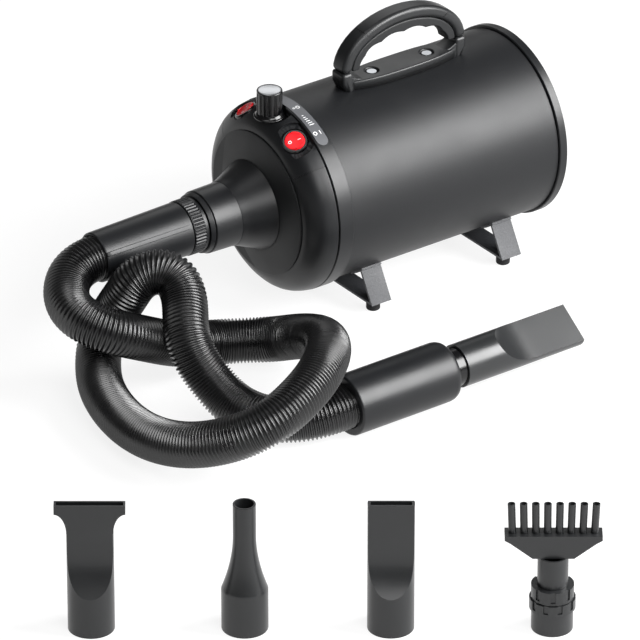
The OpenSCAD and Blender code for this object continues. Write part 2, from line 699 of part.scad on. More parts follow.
// Closed rings of points round the hose, one radius for each place
function rings(places, radii, sides) = let (up = frames(places)) [for (k = [0:len(places) - 1])
    let (c = along(places[k]), t = headings(places[k]), n = up[k], b = cross(t, n))
        for (j = [0:sides - 1]) let (a = 360 * j / sides) c + radii[k] * (n * cos(a) + b * sin(a))];

sides = 8;
half_rib = hose_len / (2 * rib_count);
outer_places = [for (k = [0:2 * rib_count]) k * half_rib];
outer_radii = [for (k = [0:2 * rib_count]) hose_d / 2 - (k % 2 == 0 ? rib_depth : 0)];
bore_rings = 90;
bore_places = [for (k = [0:bore_rings]) k * hose_len / bore_rings];
bore_radii = [for (k = [0:bore_rings]) hose_bore];

// Triangles between neighbouring rings; turn flips the way they face
function wall(first, count, turn) = [for (k = [0:count - 2], j = [0:sides - 1])
    let (a = first + k * sides + j, b = first + k * sides + (j + 1) % sides, c = a + sides, d = b + sides)
        each turn ? [[a, c, b], [b, c, d]] : [[a, b, c], [b, d, c]]];
function end_face(p, q, turn) = [for (j = [0:sides - 1]) let (k = (j + 1) % sides)
    each turn ? [[p + j, q + j, p + k], [p + k, q + j, q + k]]
        : [[p + j, p + k, q + j], [p + k, q + k, q + j]]];

module hose() color("#121213") {
    outer = rings(outer_places, outer_radii, sides);
    inner = rings(bore_places, bore_radii, sides);
    n = len(outer);
    polyhedron(points = concat(outer, inner), convexity = 12, faces = concat(
        wall(0, len(outer_places), true), wall(n, len(bore_places), false),
        end_face(0, n, false),
        end_face(n - sides, n + len(inner) - sides, true)));
}

// Least gap between two stretches of the hose that lie more than two diameters apart
gap_steps = 150;
gap_points = [for (k = [0:gap_steps]) along(k * hose_len / gap_steps)];
least_gap = min([for (i = [0:gap_steps], j = [i + 1:gap_steps])
    if ((j - i) * hose_len / gap_steps > 2.3 * hose_d) norm(gap_points[i] - gap_points[j])]) - hose_d;
echo(hose_length = hose_len, least_gap = least_gap);

module on_set() translate([0, set_y, set_z]) children();

module grip_sleeve() color("#1b1c1e") on_set()
    turned([[set_x, hose_d / 2 + 0.5], [set_x, grip_r - 1.4], [set_x + 1.6, grip_r],
        [grip_end - 6, grip_r], [grip_end - 2, grip_r - 1.6], [grip_end, grip_r - 5],
        [grip_end, adapter_r + bore_gap], [grip_end - 24, adapter_r + bore_gap],
        [grip_end - 24, 16], [set_x + 20.2, 16], [set_x + 20.2, hose_d / 2 + 0.5]]);

module nozzle_adapter() color("#0f0f10") on_set()
    ring(grip_end - 23.8, grip_end - 24 + adapter_len + 12, 14.5, adapter_r);

// Scooped flat nozzle standing on its socket: a tube drawn in to a flat mouth
function scoop(r, t, z0, z1) = [for (i = [0:10]) let (a = 90 * i / 10)
    [t + (r - t) * pow(1 - sin(a), 1.5), z0 + (z1 - z0) * i / 10]];

module scooped(r, t, height, from, extra) rotate([90, 0, 90]) linear_extrude(4 * r, center = true)
    let (s = scoop(r + 0.5, t, from, from + 46))
        polygon(concat([[r + 0.5, -extra]], s, [[t, height + extra], [-t, height + extra]],
            [for (i = [len(s) - 1:-1:0]) [-s[i][0], s[i][1]]], [[-r - 0.5, -extra]]));

module flat_tube(height, r, t, extra) intersection() {
    translate([0, 0, -extra]) cylinder(r = r, h = height + 2 * extra);
    scooped(r, t, height, socket_len, extra);
}

// Round socket that the adapter enters, up to its stop
module socket() translate([0, 0, -1]) cylinder(r = nozzle_r - nozzle_wall, h = socket_len + 1);

module flat_nozzle(height) difference() {
    flat_tube(height, nozzle_r, mouth_t / 2, 0);
    socket();
    flat_tube(height, nozzle_r - nozzle_wall - stop_t, mouth_t / 2 - nozzle_wall, 1);
}

module fitted_nozzle() color("#232427") on_set() translate([fitted_x, 0, 0])
    rotate([0, 90, 0]) rotate([0, 0, fitted_roll]) flat_nozzle(fitted_len);

module narrow_nozzle() color("#232427") stand(narrow_at) flat_nozzle(nozzle_h);

// Flared mouth of the wide nozzle, seen from the front
module flare(half, inset, extra) {
    z = nozzle_h - 26;
    side = [for (i = [0:8]) let (a = 90 * i / 8)
        [nozzle_r - 0.2 + (half - nozzle_r + 0.2) * (1 - cos(a)) - inset, z + 18 * sin(a)]];
    polygon(concat(side, [[half - inset, nozzle_h + extra], [-half + inset, nozzle_h + extra]],
        [for (i = [8:-1:0]) [-side[i][0], side[i][1]]]));
}

module wide_nozzle() color("#232427") stand(wide_at) difference() {
    union() {
        flat_tube(nozzle_h, nozzle_r, mouth_t / 2, 0);
        plank(mouth_t) flare(wide_w / 2, 0, 0);
    }
    socket();
    flat_tube(nozzle_h, nozzle_r - nozzle_wall - stop_t, mouth_t / 2 - nozzle_wall, 1);
    plank(mouth_t - 2 * nozzle_wall) flare(wide_w / 2, nozzle_wall, 1);
}

module round_nozzle() color("#232427") stand(round_at) {
    taper = [for (i = [0:10]) let (t = i / 10) [9.5 + (nozzle_r - 9.5) * pow(1 - t, 1.9), socket_len + 1 + 50 * t]];
    rotate_extrude() polygon(concat([[nozzle_r - nozzle_wall, 0], [nozzle_r, 0]], taper,
        [[9.5, nozzle_h], [9.5 - nozzle_wall, nozzle_h]],
        [for (i = [10:-1:0]) taper[i] - [nozzle_wall, 0.6]]));
}

// ---- comb nozzle ----

comb_tube_r = 12.75;
collar_low = 20;
collar_mid = 29.6;
collar_top = 41.6;

module comb_tube() color("#1d1e20") stand(comb_at) rotate_extrude()
    polygon([[15.5, 0], [15.5 + nozzle_wall, 0], [15.5 + nozzle_wall, collar_low - 0.1],
        [comb_tube_r + 1.6, collar_low - 0.1], [comb_tube_r + 1.6, collar_mid],
        [comb_tube_r, collar_mid], [comb_tube_r, comb_low_z - 0.1],
        [comb_tube_r - nozzle_wall, comb_low_z - 0.1], [comb_tube_r - nozzle_wall, 17],
        [15.5, 15]]);

// Collar with grip notches round it
module collar(z0, z1, r_in, r_out, notches) stand(comb_at) difference() {
    translate([0, 0, z0]) cylinder(r = r_out, h = z1 - z0);
    translate([0, 0, z0 - 1]) cylinder(r = r_in, h = z1 - z0 + 2);
    for (i = [0:notches - 1]) rotate([0, 0, i * 360 / notches])
        translate([r_out - 1.2, -2, z0 + 2.2]) cube([4, 4, z1 - z0]);
}

module comb_collar_lower() color("#1a1b1d") collar(collar_low, collar_mid - 0.2, comb_tube_r + 1.7, 19.2, 10);
module comb_collar_upper() color("#1a1b1d") collar(collar_mid + run, collar_top, comb_tube_r + bore_gap, 17.75, 8);

module comb_head() color("#1f2022") stand(comb_at) difference() {
    plank(comb_t) polygon([[-17, comb_low_z], [17, comb_low_z], [comb_w / 2 - 5, comb_bar_z - 7],
        [comb_w / 2, comb_bar_z - 4], [comb_w / 2, comb_bar_z], [-comb_w / 2, comb_bar_z],
        [-comb_w / 2, comb_bar_z - 4], [-comb_w / 2 + 5, comb_bar_z - 7]]);
    translate([0, 0, comb_low_z - 1]) cylinder(r = comb_t / 2 - 2, h = comb_bar_z - comb_low_z - 1);
    plank(comb_t - 4) polygon([[-10, comb_low_z + 4], [10, comb_low_z + 4],
        [comb_w / 2 - 7, comb_bar_z - 5], [comb_w / 2 - 4, comb_bar_z - 2],
        [-comb_w / 2 + 4, comb_bar_z - 2], [-comb_w / 2 + 7, comb_bar_z - 5]]);
    at_tines() translate([0, 0, -4]) cylinder(r = 2.2, h = 10);
}

// Places of the tines, fanned a little
module at_tines() for (i = [0:tines - 1]) let (x = (i - (tines - 1) / 2) * tine_pitch)
    translate([x, 0, comb_bar_z]) rotate([0, x / 15, 0]) children();

module comb_tines() color("#1f2022") stand(comb_at) difference() {
    at_tines() cylinder(r = 3.2, h = nozzle_h - comb_bar_z, $fn = 32);
    at_tines() translate([0, 0, -1]) cylinder(r = 2.2, h = 40, $fn = 32);
    translate([-60, -10, 0]) cube([120, 20, comb_bar_z + 0.1]);
}

placed() drum_shell();
placed() front_trim_ring();
placed() label_plate();
placed() front_cap();
placed() front_panel();
placed() outlet_cone();
placed() outlet_seal();
placed() potentiometer();
placed() pot_nut();
placed() pot_shaft();
placed() knob();
placed() knob_cap();
placed() power_bezel();
placed() power_rocker();
placed() heat_bezel();
placed() heat_rocker();
placed() control_board();
placed() rear_rim();
placed() rear_cover();
placed() rear_grille();
placed() filter_foam();
placed() filter_cover();
placed() cord_gland();
placed() terminal_block();
placed() rear_screws();
placed() handle_base();
placed() handle_arch();
placed() handle_grip();
placed() handle_screws();
placed() front_foot_bracket();
placed() rear_foot_bracket();
placed() rubber_feet();
placed() foot_screws();
placed() motor_body();
placed() motor_shaft();
placed() motor_mount_front();
placed() motor_mount_rear();
placed() fan_housing();
placed() impeller();
placed() air_duct();
placed() heater_frame();
placed() heater_coil();
placed() foam_liner();
placed() lock_ring();
placed() machine_cuff();
placed() hose();
placed() grip_sleeve();
placed() nozzle_adapter();
placed() fitted_nozzle();
placed() wide_nozzle();
placed() round_nozzle();
placed() narrow_nozzle();
placed() comb_head();
placed() comb_tines();
placed() comb_tube();
placed() comb_collar_upper();
placed() comb_collar_lower();
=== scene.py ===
"""Drum blower for drying pets, with a ribbed hose, a handset and four spare nozzles."""

import math

import bpy
from mathutils import Matrix, Vector


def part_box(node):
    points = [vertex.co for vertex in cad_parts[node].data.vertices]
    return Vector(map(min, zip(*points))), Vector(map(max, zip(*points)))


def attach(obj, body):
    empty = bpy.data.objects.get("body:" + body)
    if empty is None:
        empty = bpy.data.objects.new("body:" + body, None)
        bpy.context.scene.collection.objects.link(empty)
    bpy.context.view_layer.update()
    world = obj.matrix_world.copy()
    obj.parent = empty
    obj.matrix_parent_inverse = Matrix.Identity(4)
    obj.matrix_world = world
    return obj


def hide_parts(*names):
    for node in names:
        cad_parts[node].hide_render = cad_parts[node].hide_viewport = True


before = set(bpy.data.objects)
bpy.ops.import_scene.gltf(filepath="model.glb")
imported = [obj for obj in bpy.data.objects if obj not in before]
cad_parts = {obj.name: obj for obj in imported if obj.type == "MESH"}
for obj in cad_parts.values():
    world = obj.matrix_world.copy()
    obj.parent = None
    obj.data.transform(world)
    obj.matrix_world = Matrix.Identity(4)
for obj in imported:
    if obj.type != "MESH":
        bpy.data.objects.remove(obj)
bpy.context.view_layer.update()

bl_info = {
    "name": "Pet Dryer",
    "version": (1, 0, 0),
    "blender": (4, 5, 0),
    "location": "View3D > Sidebar > Dryer",
    "description": "Models a drum blower with its ribbed hose, handset and spare nozzles",
    "category": "Object",
}

MM = 0.001
UP = Vector((0, 0, 1))
FORE = Vector((1, 0, 0))
AXIS_H = 108  # height of the drum axis above the floor, mm
DRUM_LOW, DRUM_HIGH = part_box("drum_shell")
DRUM_FRONT = -72  # X of the drum's front edge, mm
ORIGIN = Vector((DRUM_LOW[0] - DRUM_FRONT * MM, (DRUM_LOW[1] + DRUM_HIGH[1]) / 2, 0))


def spot(x, y, z):
    """Place in metres from X along the drum, Y across it and height over the floor, in mm."""
    return ORIGIN + Vector((x, y, z)) * MM


def over(x, y, z):
    """Place in metres, like spot, with the height measured from the drum's axis."""
    return spot(x, y, AXIS_H + z)


def linear(code):
    """Linear colour from an sRGB hex value."""
    channels = [int(code[i : i + 2], 16) / 255 for i in (1, 3, 5)]
    return tuple(c / 12.92 if c <= 0.04045 else ((c + 0.055) / 1.055) ** 2.4 for c in channels)


# ---- sizes and colours that a user would change ----


class DryerSizes(bpy.types.PropertyGroup):
    rib_pitch: bpy.props.FloatProperty(
        name="Rib pitch", description="Distance between hose ribs", default=3.1 * MM, unit="LENGTH"
    )
    rib_depth: bpy.props.FloatProperty(
        name="Rib depth", description="Depth of the hose's grooves", default=2.1 * MM, unit="LENGTH"
    )
    hose_sides: bpy.props.IntProperty(
        name="Hose sides", description="Points round each ring of the hose", default=32, min=12
    )
    edge: bpy.props.FloatProperty(
        name="Edge radius", description="Rounding of moulded edges", default=0.5 * MM, unit="LENGTH"
    )


class DryerColours(bpy.types.PropertyGroup):
    paint: bpy.props.FloatVectorProperty(
        name="Drum paint", description="Powder coat of the drum", default=linear("#101113"), subtype="COLOR"
    )
    plastic: bpy.props.FloatVectorProperty(
        name="Plastic", description="Moulded front and handle", default=linear("#101113"), subtype="COLOR"
    )
    hose: bpy.props.FloatVectorProperty(
        name="Hose", description="Ribbed hose", default=linear("#0e0e0f"), subtype="COLOR"
    )
    button: bpy.props.FloatVectorProperty(
        name="Buttons", description="Rocker buttons", default=linear("#d3101b"), subtype="COLOR"
    )


class DryerStudio(bpy.types.PropertyGroup):
    side_lamp: bpy.props.FloatProperty(
        name="Side lamp", description="Power of the lamp at the near side", default=85, unit="POWER"
    )
    front_lamp: bpy.props.FloatProperty(
        name="Front lamp", description="Power of the lamp before the dome", default=18, unit="POWER"
    )
    top_lamp: bpy.props.FloatProperty(
        name="Top lamp", description="Power of the lamp above", default=8, unit="POWER"
    )
    rear_card: bpy.props.FloatProperty(
        name="Rear card", description="Power of the pale card behind", default=0.9, unit="POWER"
    )
    sky: bpy.props.FloatProperty(
        name="Sky", description="Strength of the pale surroundings", default=0.12, min=0
    )


def sizes():
    return bpy.context.scene.dryer_sizes


def colours():
    return bpy.context.scene.dryer_colours


# ---- modelling by hand, in small steps ----


def fresh():
    """Object mode with nothing selected."""
    if bpy.context.object and bpy.context.object.mode != "OBJECT":
        bpy.ops.object.mode_set(mode="OBJECT")
    bpy.ops.object.select_all(action="DESELECT")


def only(piece):
    """Selects one piece and makes it the active one."""
    fresh()
    piece.select_set(True)
    bpy.context.view_layer.objects.active = piece


def apply(piece, kind, **settings):
    """Adds a modifier with its settings and applies it."""
    only(piece)
    modifier = piece.modifiers.new(kind.title(), kind)
    for name, value in settings.items():
        setattr(modifier, name, value)
    bpy.ops.object.modifier_apply(modifier=modifier.name)


def smooth(piece, angle=35):
    """Smooth faces, with edges past the angle kept sharp."""
    only(piece)
    bpy.ops.object.shade_smooth_by_angle(angle=math.radians(angle))


def soften(piece, width=None, segments=2, angle=30):
    """Rounds the sharp edges and shades the faces between them flat."""
    apply(
        piece,
        "BEVEL",
        width=sizes().edge if width is None else width * MM,
        segments=segments,
        limit_method="ANGLE",
        angle_limit=math.radians(angle),
    )
    smooth(piece, 40)
    apply(piece, "WEIGHTED_NORMAL", keep_sharp=True)


def place(piece, matrix):
    """Moves a piece made round the world's origin to its place, and leaves the place in its mesh."""
    only(piece)
    piece.matrix_world = matrix
    bpy.ops.object.transform_apply()
    return piece


def carve(piece, cutter, how="DIFFERENCE"):
    """Cuts one piece with another, which is used up."""
    apply(piece, "BOOLEAN", operation=how, solver="EXACT", object=cutter)
    bpy.data.objects.remove(cutter)
    return piece


def chain(name, points):
    """One piece with a line of points joined by edges, left in edit mode."""
    fresh()
    bpy.ops.mesh.primitive_plane_add(size=MM, location=points[0])
    bpy.ops.object.transform_apply()
    piece = bpy.context.object
    piece.name = piece.data.name = name
    bpy.ops.object.mode_set(mode="EDIT")
    bpy.ops.mesh.select_all(action="SELECT")
    bpy.ops.mesh.merge(type="CENTER")
    for last, point in zip(points, points[1:]):
        bpy.ops.mesh.extrude_vertices_move(TRANSFORM_OT_translate={"value": point - last})
    bpy.ops.mesh.select_all(action="SELECT")
    return piece


def tidy_mesh():
    """In edit mode: merges what meets, turns the faces outwards and leaves edit mode."""
    bpy.ops.mesh.select_all(action="SELECT")
    bpy.ops.mesh.remove_doubles(threshold=1e-5)
    bpy.ops.mesh.normals_make_consistent(inside=False)
    bpy.ops.object.mode_set(mode="OBJECT")


def lathe(name, profile, centre=Vector(), axis=UP, steps=96):
    """Turned piece from a closed profile of (distance along the axis, radius), in mm."""
    out = Vector((0, 0, 1)) if abs(axis.z) < 0.5 else Vector((1, 0, 0))
    out = (out - out.dot(axis) * axis).normalized()
    points = [centre + axis * a * MM + out * r * MM for a, r in profile]
    piece = chain(name, points + points[:1])
    bpy.ops.mesh.spin(steps=steps, angle=math.tau, center=centre, axis=axis)
    tidy_mesh()
    return piece


def board(name, outline, push):
    """Flat piece from a closed outline, with its thickness along push, all in metres."""
    piece = chain(name, outline)
    bpy.ops.mesh.edge_face_add()
    bpy.ops.mesh.extrude_region_move(TRANSFORM_OT_translate={"value": push})
    tidy_mesh()
    return piece


def plank(name, outline, width):
    """Outline of (x, z) in mm round the world's origin, as thick across Y as width."""
    corners = [Vector((x, -width / 2, z)) * MM for x, z in outline]
    return board(name, corners, Vector((0, width * MM, 0)))


def block(name, low, high):
    """Box between two corners, in metres."""
    corners = (low.x, low.y), (high.x, low.y), (high.x, high.y), (low.x, high.y)
    outline = [Vector((x, y, low.z)) for x, y in corners]
    return board(name, outline, Vector((0, 0, high.z - low.z)))


def join(*parts):
    """Makes one piece of several."""
    only(parts[0])
    for part in parts[1:]:
        part.select_set(True)
    bpy.ops.object.join()
    return parts[0]


def copy_of(node, name):
    """Copy of a CAD node's mesh, merged into clean faces."""
    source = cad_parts[node]
    piece = bpy.data.objects.new(name, source.data.copy())
    piece.matrix_world = source.matrix_world
    bpy.context.scene.collection.objects.link(piece)
    piece.data.materials.clear()
    only(piece)
    bpy.ops.object.transform_apply()
    bpy.ops.object.mode_set(mode="EDIT")
    bpy.ops.mesh.select_all(action="SELECT")
    bpy.ops.mesh.remove_doubles(threshold=2e-6)
    bpy.ops.mesh.dissolve_limited(angle_limit=math.radians(1))
    bpy.ops.object.mode_set(mode="OBJECT")
    if piece.data.has_custom_normals:
        bpy.ops.mesh.customdata_custom_splitnormals_clear()
    return piece


def done(piece, material, body, slot, *nodes):
    """Gives a finished piece its material and its body, and hides the nodes that it stands for; slot is not
    used.
    """
    piece.data.materials.clear()
    piece.data.materials.append(material)
    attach(piece, body)
    if nodes:
        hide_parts(*nodes)
    return piece


def finished_copy(node, name, width, material, body, slot):
    """Copy of a CAD node with rounded edges, in place of the node."""
    piece = copy_of(node, name)
    soften(piece, width)
    return done(piece, material, body, slot, node)


# ---- materials ----


def node(tree, kind, links=(), inputs=(), **settings):
    """Adds a node with its settings and input values, and links outputs into its inputs."""
    made = tree.nodes.new(kind)
    for name, value in settings.items():
        setattr(made, name, value)
    for name, value in dict(inputs).items():
        made.inputs[name].default_value = value
    for name, output in dict(links).items():
        tree.links.new(output, made.inputs[name])
    return made


def grained(name, colour, roughness, grain, depth, mottle=0.1, wander=0.05, **shader_values):
    """Material with a fine grain of that size and depth in mm, on a colour and a gloss that wander."""
    made = bpy.data.materials.new(name)
    made.use_nodes = True
    tree = made.node_tree
    shader = tree.nodes["Principled BSDF"]
    for name_of_value, value in shader_values.items():
        shader.inputs[SOCKETS[name_of_value]].default_value = value
    place_of = node(tree, "ShaderNodeTexCoord").outputs["Object"]
    fine = node(tree, "ShaderNodeTexNoise", {"Vector": place_of}, {"Scale": 1 / (grain * MM), "Detail": 3})
    broad = node(tree, "ShaderNodeTexNoise", {"Vector": place_of}, {"Scale": 35, "Detail": 2})
    dark = tuple(c * (1 - mottle) for c in colour) + (1,)
    pale = tuple(min(1, c * (1 + mottle)) for c in colour) + (1,)
    ramp = node(tree, "ShaderNodeMix", {"Factor": fine.outputs["Fac"]}, data_type="RGBA")
    ramp.inputs[6].default_value = dark
    ramp.inputs[7].default_value = pale
    tree.links.new(ramp.outputs[2], shader.inputs["Base Color"])
    gloss = node(
        tree,
        "ShaderNodeMapRange",
        {"Value": broad.outputs["Fac"]},
        {"From Min": 0.3, "From Max": 0.7, "To Min": roughness - wander, "To Max": roughness + wander},
    )
    tree.links.new(gloss.outputs["Result"], shader.inputs["Roughness"])
    bump = node(
        tree, "ShaderNodeBump", {"Height": fine.outputs["Fac"]}, {"Strength": 1.0, "Distance": depth * MM}
    )
    tree.links.new(bump.outputs["Normal"], shader.inputs["Normal"])
    return made


SOCKETS = {"metallic": "Metallic", "specular": "Specular IOR Level"}
FINISHES = {}


def finish(name):
    """Material by its short name, made the first time it is asked for."""
    if name not in FINISHES:
        FINISHES[name] = MAKERS[name]()
    return FINISHES[name]


def powder_coat():
    """Fine powder coat on rolled steel: satin, with a tight orange peel that breaks up its highlight."""
    return grained("powder_coated_steel", colours().paint, 0.46, 1.5, 0.045, 0.2, 0.02, specular=0.34)


def strap_coat():
    """Coarse powder coat on bent strap: matt, with a speckle that can be counted."""
    return grained("coarse_powder_coat", linear("#2e2f32"), 0.55, 1.5, 0.2, 0.5, 0.05, specular=0.45)


def moulded():
    """Moulded ABS with a spark-eroded skin: satin black, its grain just below what the eye resolves."""
    return grained("moulded_abs", colours().plastic, 0.38, 0.9, 0.010, 0.08, 0.03, specular=0.36)


def moulded_panel():
    """The same ABS from a duller tool face: a little paler, and softer in its highlight."""
    return grained("textured_abs", linear("#191a1b"), 0.5, 1.0, 0.03, 0.12, 0.03, specular=0.32)


def handle_plastic():
    """Glass-filled nylon handle: satin, a little paler than the housing."""
    return grained("filled_nylon", linear("#18191a"), 0.36, 0.8, 0.010, 0.08, 0.04, specular=0.38)


def grip_rubber():
    """Soft overmoulding on the handle: matt thermoplastic elastomer."""
    return grained("overmoulded_elastomer", linear("#141516"), 0.5, 1.0, 0.02, 0.1, 0.04, specular=0.34)


def polished_black():
    """Polished ABS of the knob and the switch housings: deep black under a hard gloss."""
    return grained("polished_abs", linear("#050506"), 0.2, 2.0, 0.002, 0.1, 0.03, specular=0.45)


def nozzle_plastic():
    """Moulded polypropylene of the nozzles: smooth, with a broad silky highlight."""
    return grained("moulded_polypropylene", linear("#1c1d1e"), 0.32, 0.8, 0.006, 0.06, 0.03, specular=0.5)


def hose_plastic():
    """Extruded EVA of the hose: black and slightly greasy, so that each rib has a line of light."""
    return grained("extruded_eva", colours().hose, 0.28, 1.6, 0.006, 0.1, 0.04, specular=0.7)


def button_red():
    """Coloured ABS of the rockers: clean red under gloss."""
    return grained("red_abs", colours().button, 0.34, 1.5, 0.003, 0.05, 0.03, specular=0.35)


def white_print():
    """Pad-printed ink: white, matt and flat."""
    return grained("white_ink", linear("#e9eaea"), 0.55, 0.8, 0.004, 0.03, 0.03)


def label_film():
    """Printed polycarbonate label: mid-grey, with a soft satin skin."""
    return grained("polycarbonate_film", linear("#4b4c4f"), 0.46, 0.7, 0.005, 0.06, 0.03)


def rubber():
    """Moulded rubber: near black and matt."""
    return grained("moulded_rubber", linear("#111112"), 0.72, 1.0, 0.03, 0.15, 0.05, specular=0.3)


def plated_steel():
    """Zinc-plated steel: bright, cool, with a faint bloom."""
    return grained("zinc_plated_steel", linear("#b9bcc0"), 0.26, 0.8, 0.006, 0.08, 0.06, metallic=1.0)


def motor_steel():
    """Pressed and galvanised motor cans: duller grey metal with a spangle."""
    return grained("galvanised_steel", linear("#8d9094"), 0.4, 3.0, 0.01, 0.15, 0.08, metallic=1.0)


def brass():
    """Turned brass of the pot's nut."""
    return grained("turned_brass", linear("#c9a557"), 0.28, 0.8, 0.005, 0.06, 0.05, metallic=1.0)


def heater_wire():
    """Heater wire after some hours of use: dull copper-brown metal."""
    return grained("resistance_wire", linear("#8c6142"), 0.45, 0.9, 0.01, 0.2, 0.05, metallic=1.0)


def board_green():
    """Solder mask on a circuit board: green gloss over the weave of its glass."""
    return grained("solder_mask", linear("#1f5a35"), 0.3, 0.7, 0.01, 0.2, 0.05)


def open_foam():
    """Reticulated foam: dark, open cells, no gloss at all."""
    return grained("reticulated_foam", linear("#333436"), 0.95, 1.8, 0.6, 0.5, 0.03)


def block_cream():
    """Pressed mica and urea board inside: cream, with a faint flake."""
    return grained("mica_board", linear("#cfc6a8"), 0.55, 2.2, 0.01, 0.12, 0.05)


def spun_aluminium():
    """Aluminium disc faced on a lathe: bright metal with fine rings."""
    made = grained("spun_aluminium", linear("#c6c8cb"), 0.3, 0.9, 0.001, 0.02, 0.02, metallic=1.0)
    tree = made.node_tree
    low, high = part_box("knob_cap")
    middle = [-(low[i] + high[i]) / 2 for i in range(3)]
    centred = node(
        tree,
        "ShaderNodeMapping",
        {"Vector": tree.nodes["Texture Coordinate"].outputs["Object"]},
        {"Location": middle},
    )
    rings = node(
        tree,
        "ShaderNodeTexWave",
        {"Vector": centred.outputs["Vector"]},
        {"Scale": 1 / (20 * 0.5 * MM)},
        wave_type="RINGS",
        rings_direction="Z",
    )
    tree.links.new(rings.outputs["Fac"], tree.nodes["Bump"].inputs["Height"])
    tree.nodes["Bump"].inputs["Distance"].default_value = 0.03 * MM
    return made


MAKERS = {
    maker.__name__: maker
    for maker in (
        powder_coat, strap_coat, moulded, moulded_panel, handle_plastic, grip_rubber, polished_black,
        nozzle_plastic, hose_plastic, button_red, white_print, label_film, rubber, plated_steel,
        motor_steel, brass, heater_wire, board_green, open_foam, block_cream, spun_aluminium,
    )
}


# ---- stage ----

AIM = spot(-59.6, -35.7, -7.5)
BACK = Vector((-0.5143, -0.7078, 0.4843))
CAMERA_AWAY = 6.644
CAMERA_LENS = 422.94
FLOOR_SHARE = 0.8  # share of the floor's look that glows where it is seen
FLOOR_GLOW = 1.06  # strength of that glow, where 1 is white


def lamp(name, towards, away, size, power):
    """Soft lamp that shines on the drum and isn't seen itself."""
    light = bpy.data.lights.new(name, "AREA")
    light.shape = "RECTANGLE"
    light.size, light.size_y = size
    light.energy = power
    made = bpy.data.objects.new(name, light)
    bpy.context.scene.collection.objects.link(made)
    direction = Vector(towards).normalized()
    made.location = over(0, 0, 0) + direction * away
    made.rotation_euler = direction.to_track_quat("Z", "Y").to_euler()
    made.visible_camera = False


def floor_white():
    """Seamless paper: matt white, lifted to the background's white where the eye or a mirror meets it."""
    made = bpy.data.materials.new("seamless_paper")
    made.use_nodes = True
    tree = made.node_tree
    shader = tree.nodes["Principled BSDF"]
    shader.inputs["Base Color"].default_value = linear("#f4f4f4") + (1,)
    shader.inputs["Roughness"].default_value = 0.9
    shader.inputs["Specular IOR Level"].default_value = 0.1
    paths = node(tree, "ShaderNodeLightPath")
    glossy = node(
        tree,
        "ShaderNodeMath",
        {0: paths.outputs["Is Camera Ray"], 1: paths.outputs["Is Glossy Ray"]},
        operation="MAXIMUM",
    )
    seen = node(
        tree,
        "ShaderNodeMath",
        {0: glossy.outputs[0], 1: paths.outputs["Is Transmission Ray"]},
        operation="MAXIMUM",
    )
    share = node(tree, "ShaderNodeMath", {0: seen.outputs[0]}, {1: FLOOR_SHARE}, operation="MULTIPLY")
    glow = node(tree, "ShaderNodeEmission", inputs={"Color": (1, 1, 1, 1), "Strength": FLOOR_GLOW})
    blend = node(
        tree,
        "ShaderNodeMixShader",
        {0: share.outputs[0], 1: shader.outputs["BSDF"], 2: glow.outputs["Emission"]},
    )
    tree.links.new(blend.outputs["Shader"], tree.nodes["Material Output"].inputs["Surface"])
    return made


class DRYER_OT_stage(bpy.types.Operator):
    """Sets up the camera, the pale floor and the soft lamps"""

    bl_idname = "dryer.stage"
    bl_label = "Stage"

    def execute(self, context):
        scene = context.scene
        camera = bpy.data.objects.new("camera", bpy.data.cameras.new("camera"))
        scene.collection.objects.link(camera)
        camera.location = AIM + BACK * CAMERA_AWAY
        camera.rotation_euler = (-BACK).to_track_quat("-Z", "Y").to_euler()
        camera.data.sensor_width = 36
        camera.data.lens = CAMERA_LENS
        camera.data.clip_end = 100
        scene.camera = camera
        fresh()
        bpy.ops.mesh.primitive_plane_add(size=90, location=(0, 0, 0))
        floor = context.object
        floor.name = "floor"
        floor.data.materials.append(floor_white())
        studio = scene.dryer_studio
        lamp("side_lamp", (0.514, -0.700, 0.495), 1.7, (1.3, 1.1), studio.side_lamp)
        lamp("front_lamp", (-0.25, -0.78, 0.57), 1.9, (0.9, 0.8), studio.front_lamp)
        lamp("top_lamp", (-0.25, 0, 0.97), 2.6, (1.0, 1.0), studio.top_lamp)
        lamp("rear_card", (0.392, 0.697, 0.601), 0.82, (0.5, 0.42), studio.rear_card)
        world = bpy.data.worlds.new("sky")
        world.use_nodes = True
        background = world.node_tree.nodes["Background"]
        background.inputs["Color"].default_value = (1, 1, 1, 1)
        background.inputs["Strength"].default_value = studio.sky
        scene.world = world
        scene.view_settings.view_transform = "Standard"
        return {"FINISHED"}


# ---- hose ----

# Route of the hose's middle line, in mm: along the drum, across it, over the floor
ROUTE = [
    (-256, 0, 108), (-272, 0, 108), (-288, 0, 107), (-304, -3, 101), (-318, -17, 93),
    (-325, -38, 88), (-319, -57, 82), (-303, -74, 76), (-275, -75, 62), (-243, -65, 42),
    (-213, -56, 27), (-186, -54, 20), (-160, -69, 20), (-143, -86, 23), (-136, -108, 34),
    (-140, -146, 52), (-162, -190, 72), (-190, -226, 83), (-218, -250, 84), (-246, -262, 78),
    (-270, -266, 70), (-292, -259, 60), (-310, -241, 48), (-325, -213, 36), (-332, -176, 26),
    (-332, -138, 21), (-326, -100, 20), (-315, -65, 22), (-303, -44, 28), (-293, -31, 37),
    (-285, -26, 47), (-277, -26, 60), (-272, -32, 74), (-270, -42, 89), (-263, -47, 105),
    (-248, -56, 113), (-236, -70, 108), (-239, -86, 93), (-251, -102, 83), (-257, -115, 72),
    (-256, -124, 57), (-248, -138, 38), (-241, -157, 23), (-234, -180, 20), (-222, -198, 20),
    (-204, -212, 21), (-186, -220, 25), (-168, -222, 27), (-148, -222, 27),
]
HOSE_LENGTH = 1.22382
HOSE_RADIUS = 20 * MM
HOSE_BORE = 15.5 * MM
CUFF_END = -275  # X of the cuff's mouth, where the hose comes out, mm
RIB_STEPS = 20  # steps along the hose for each rib
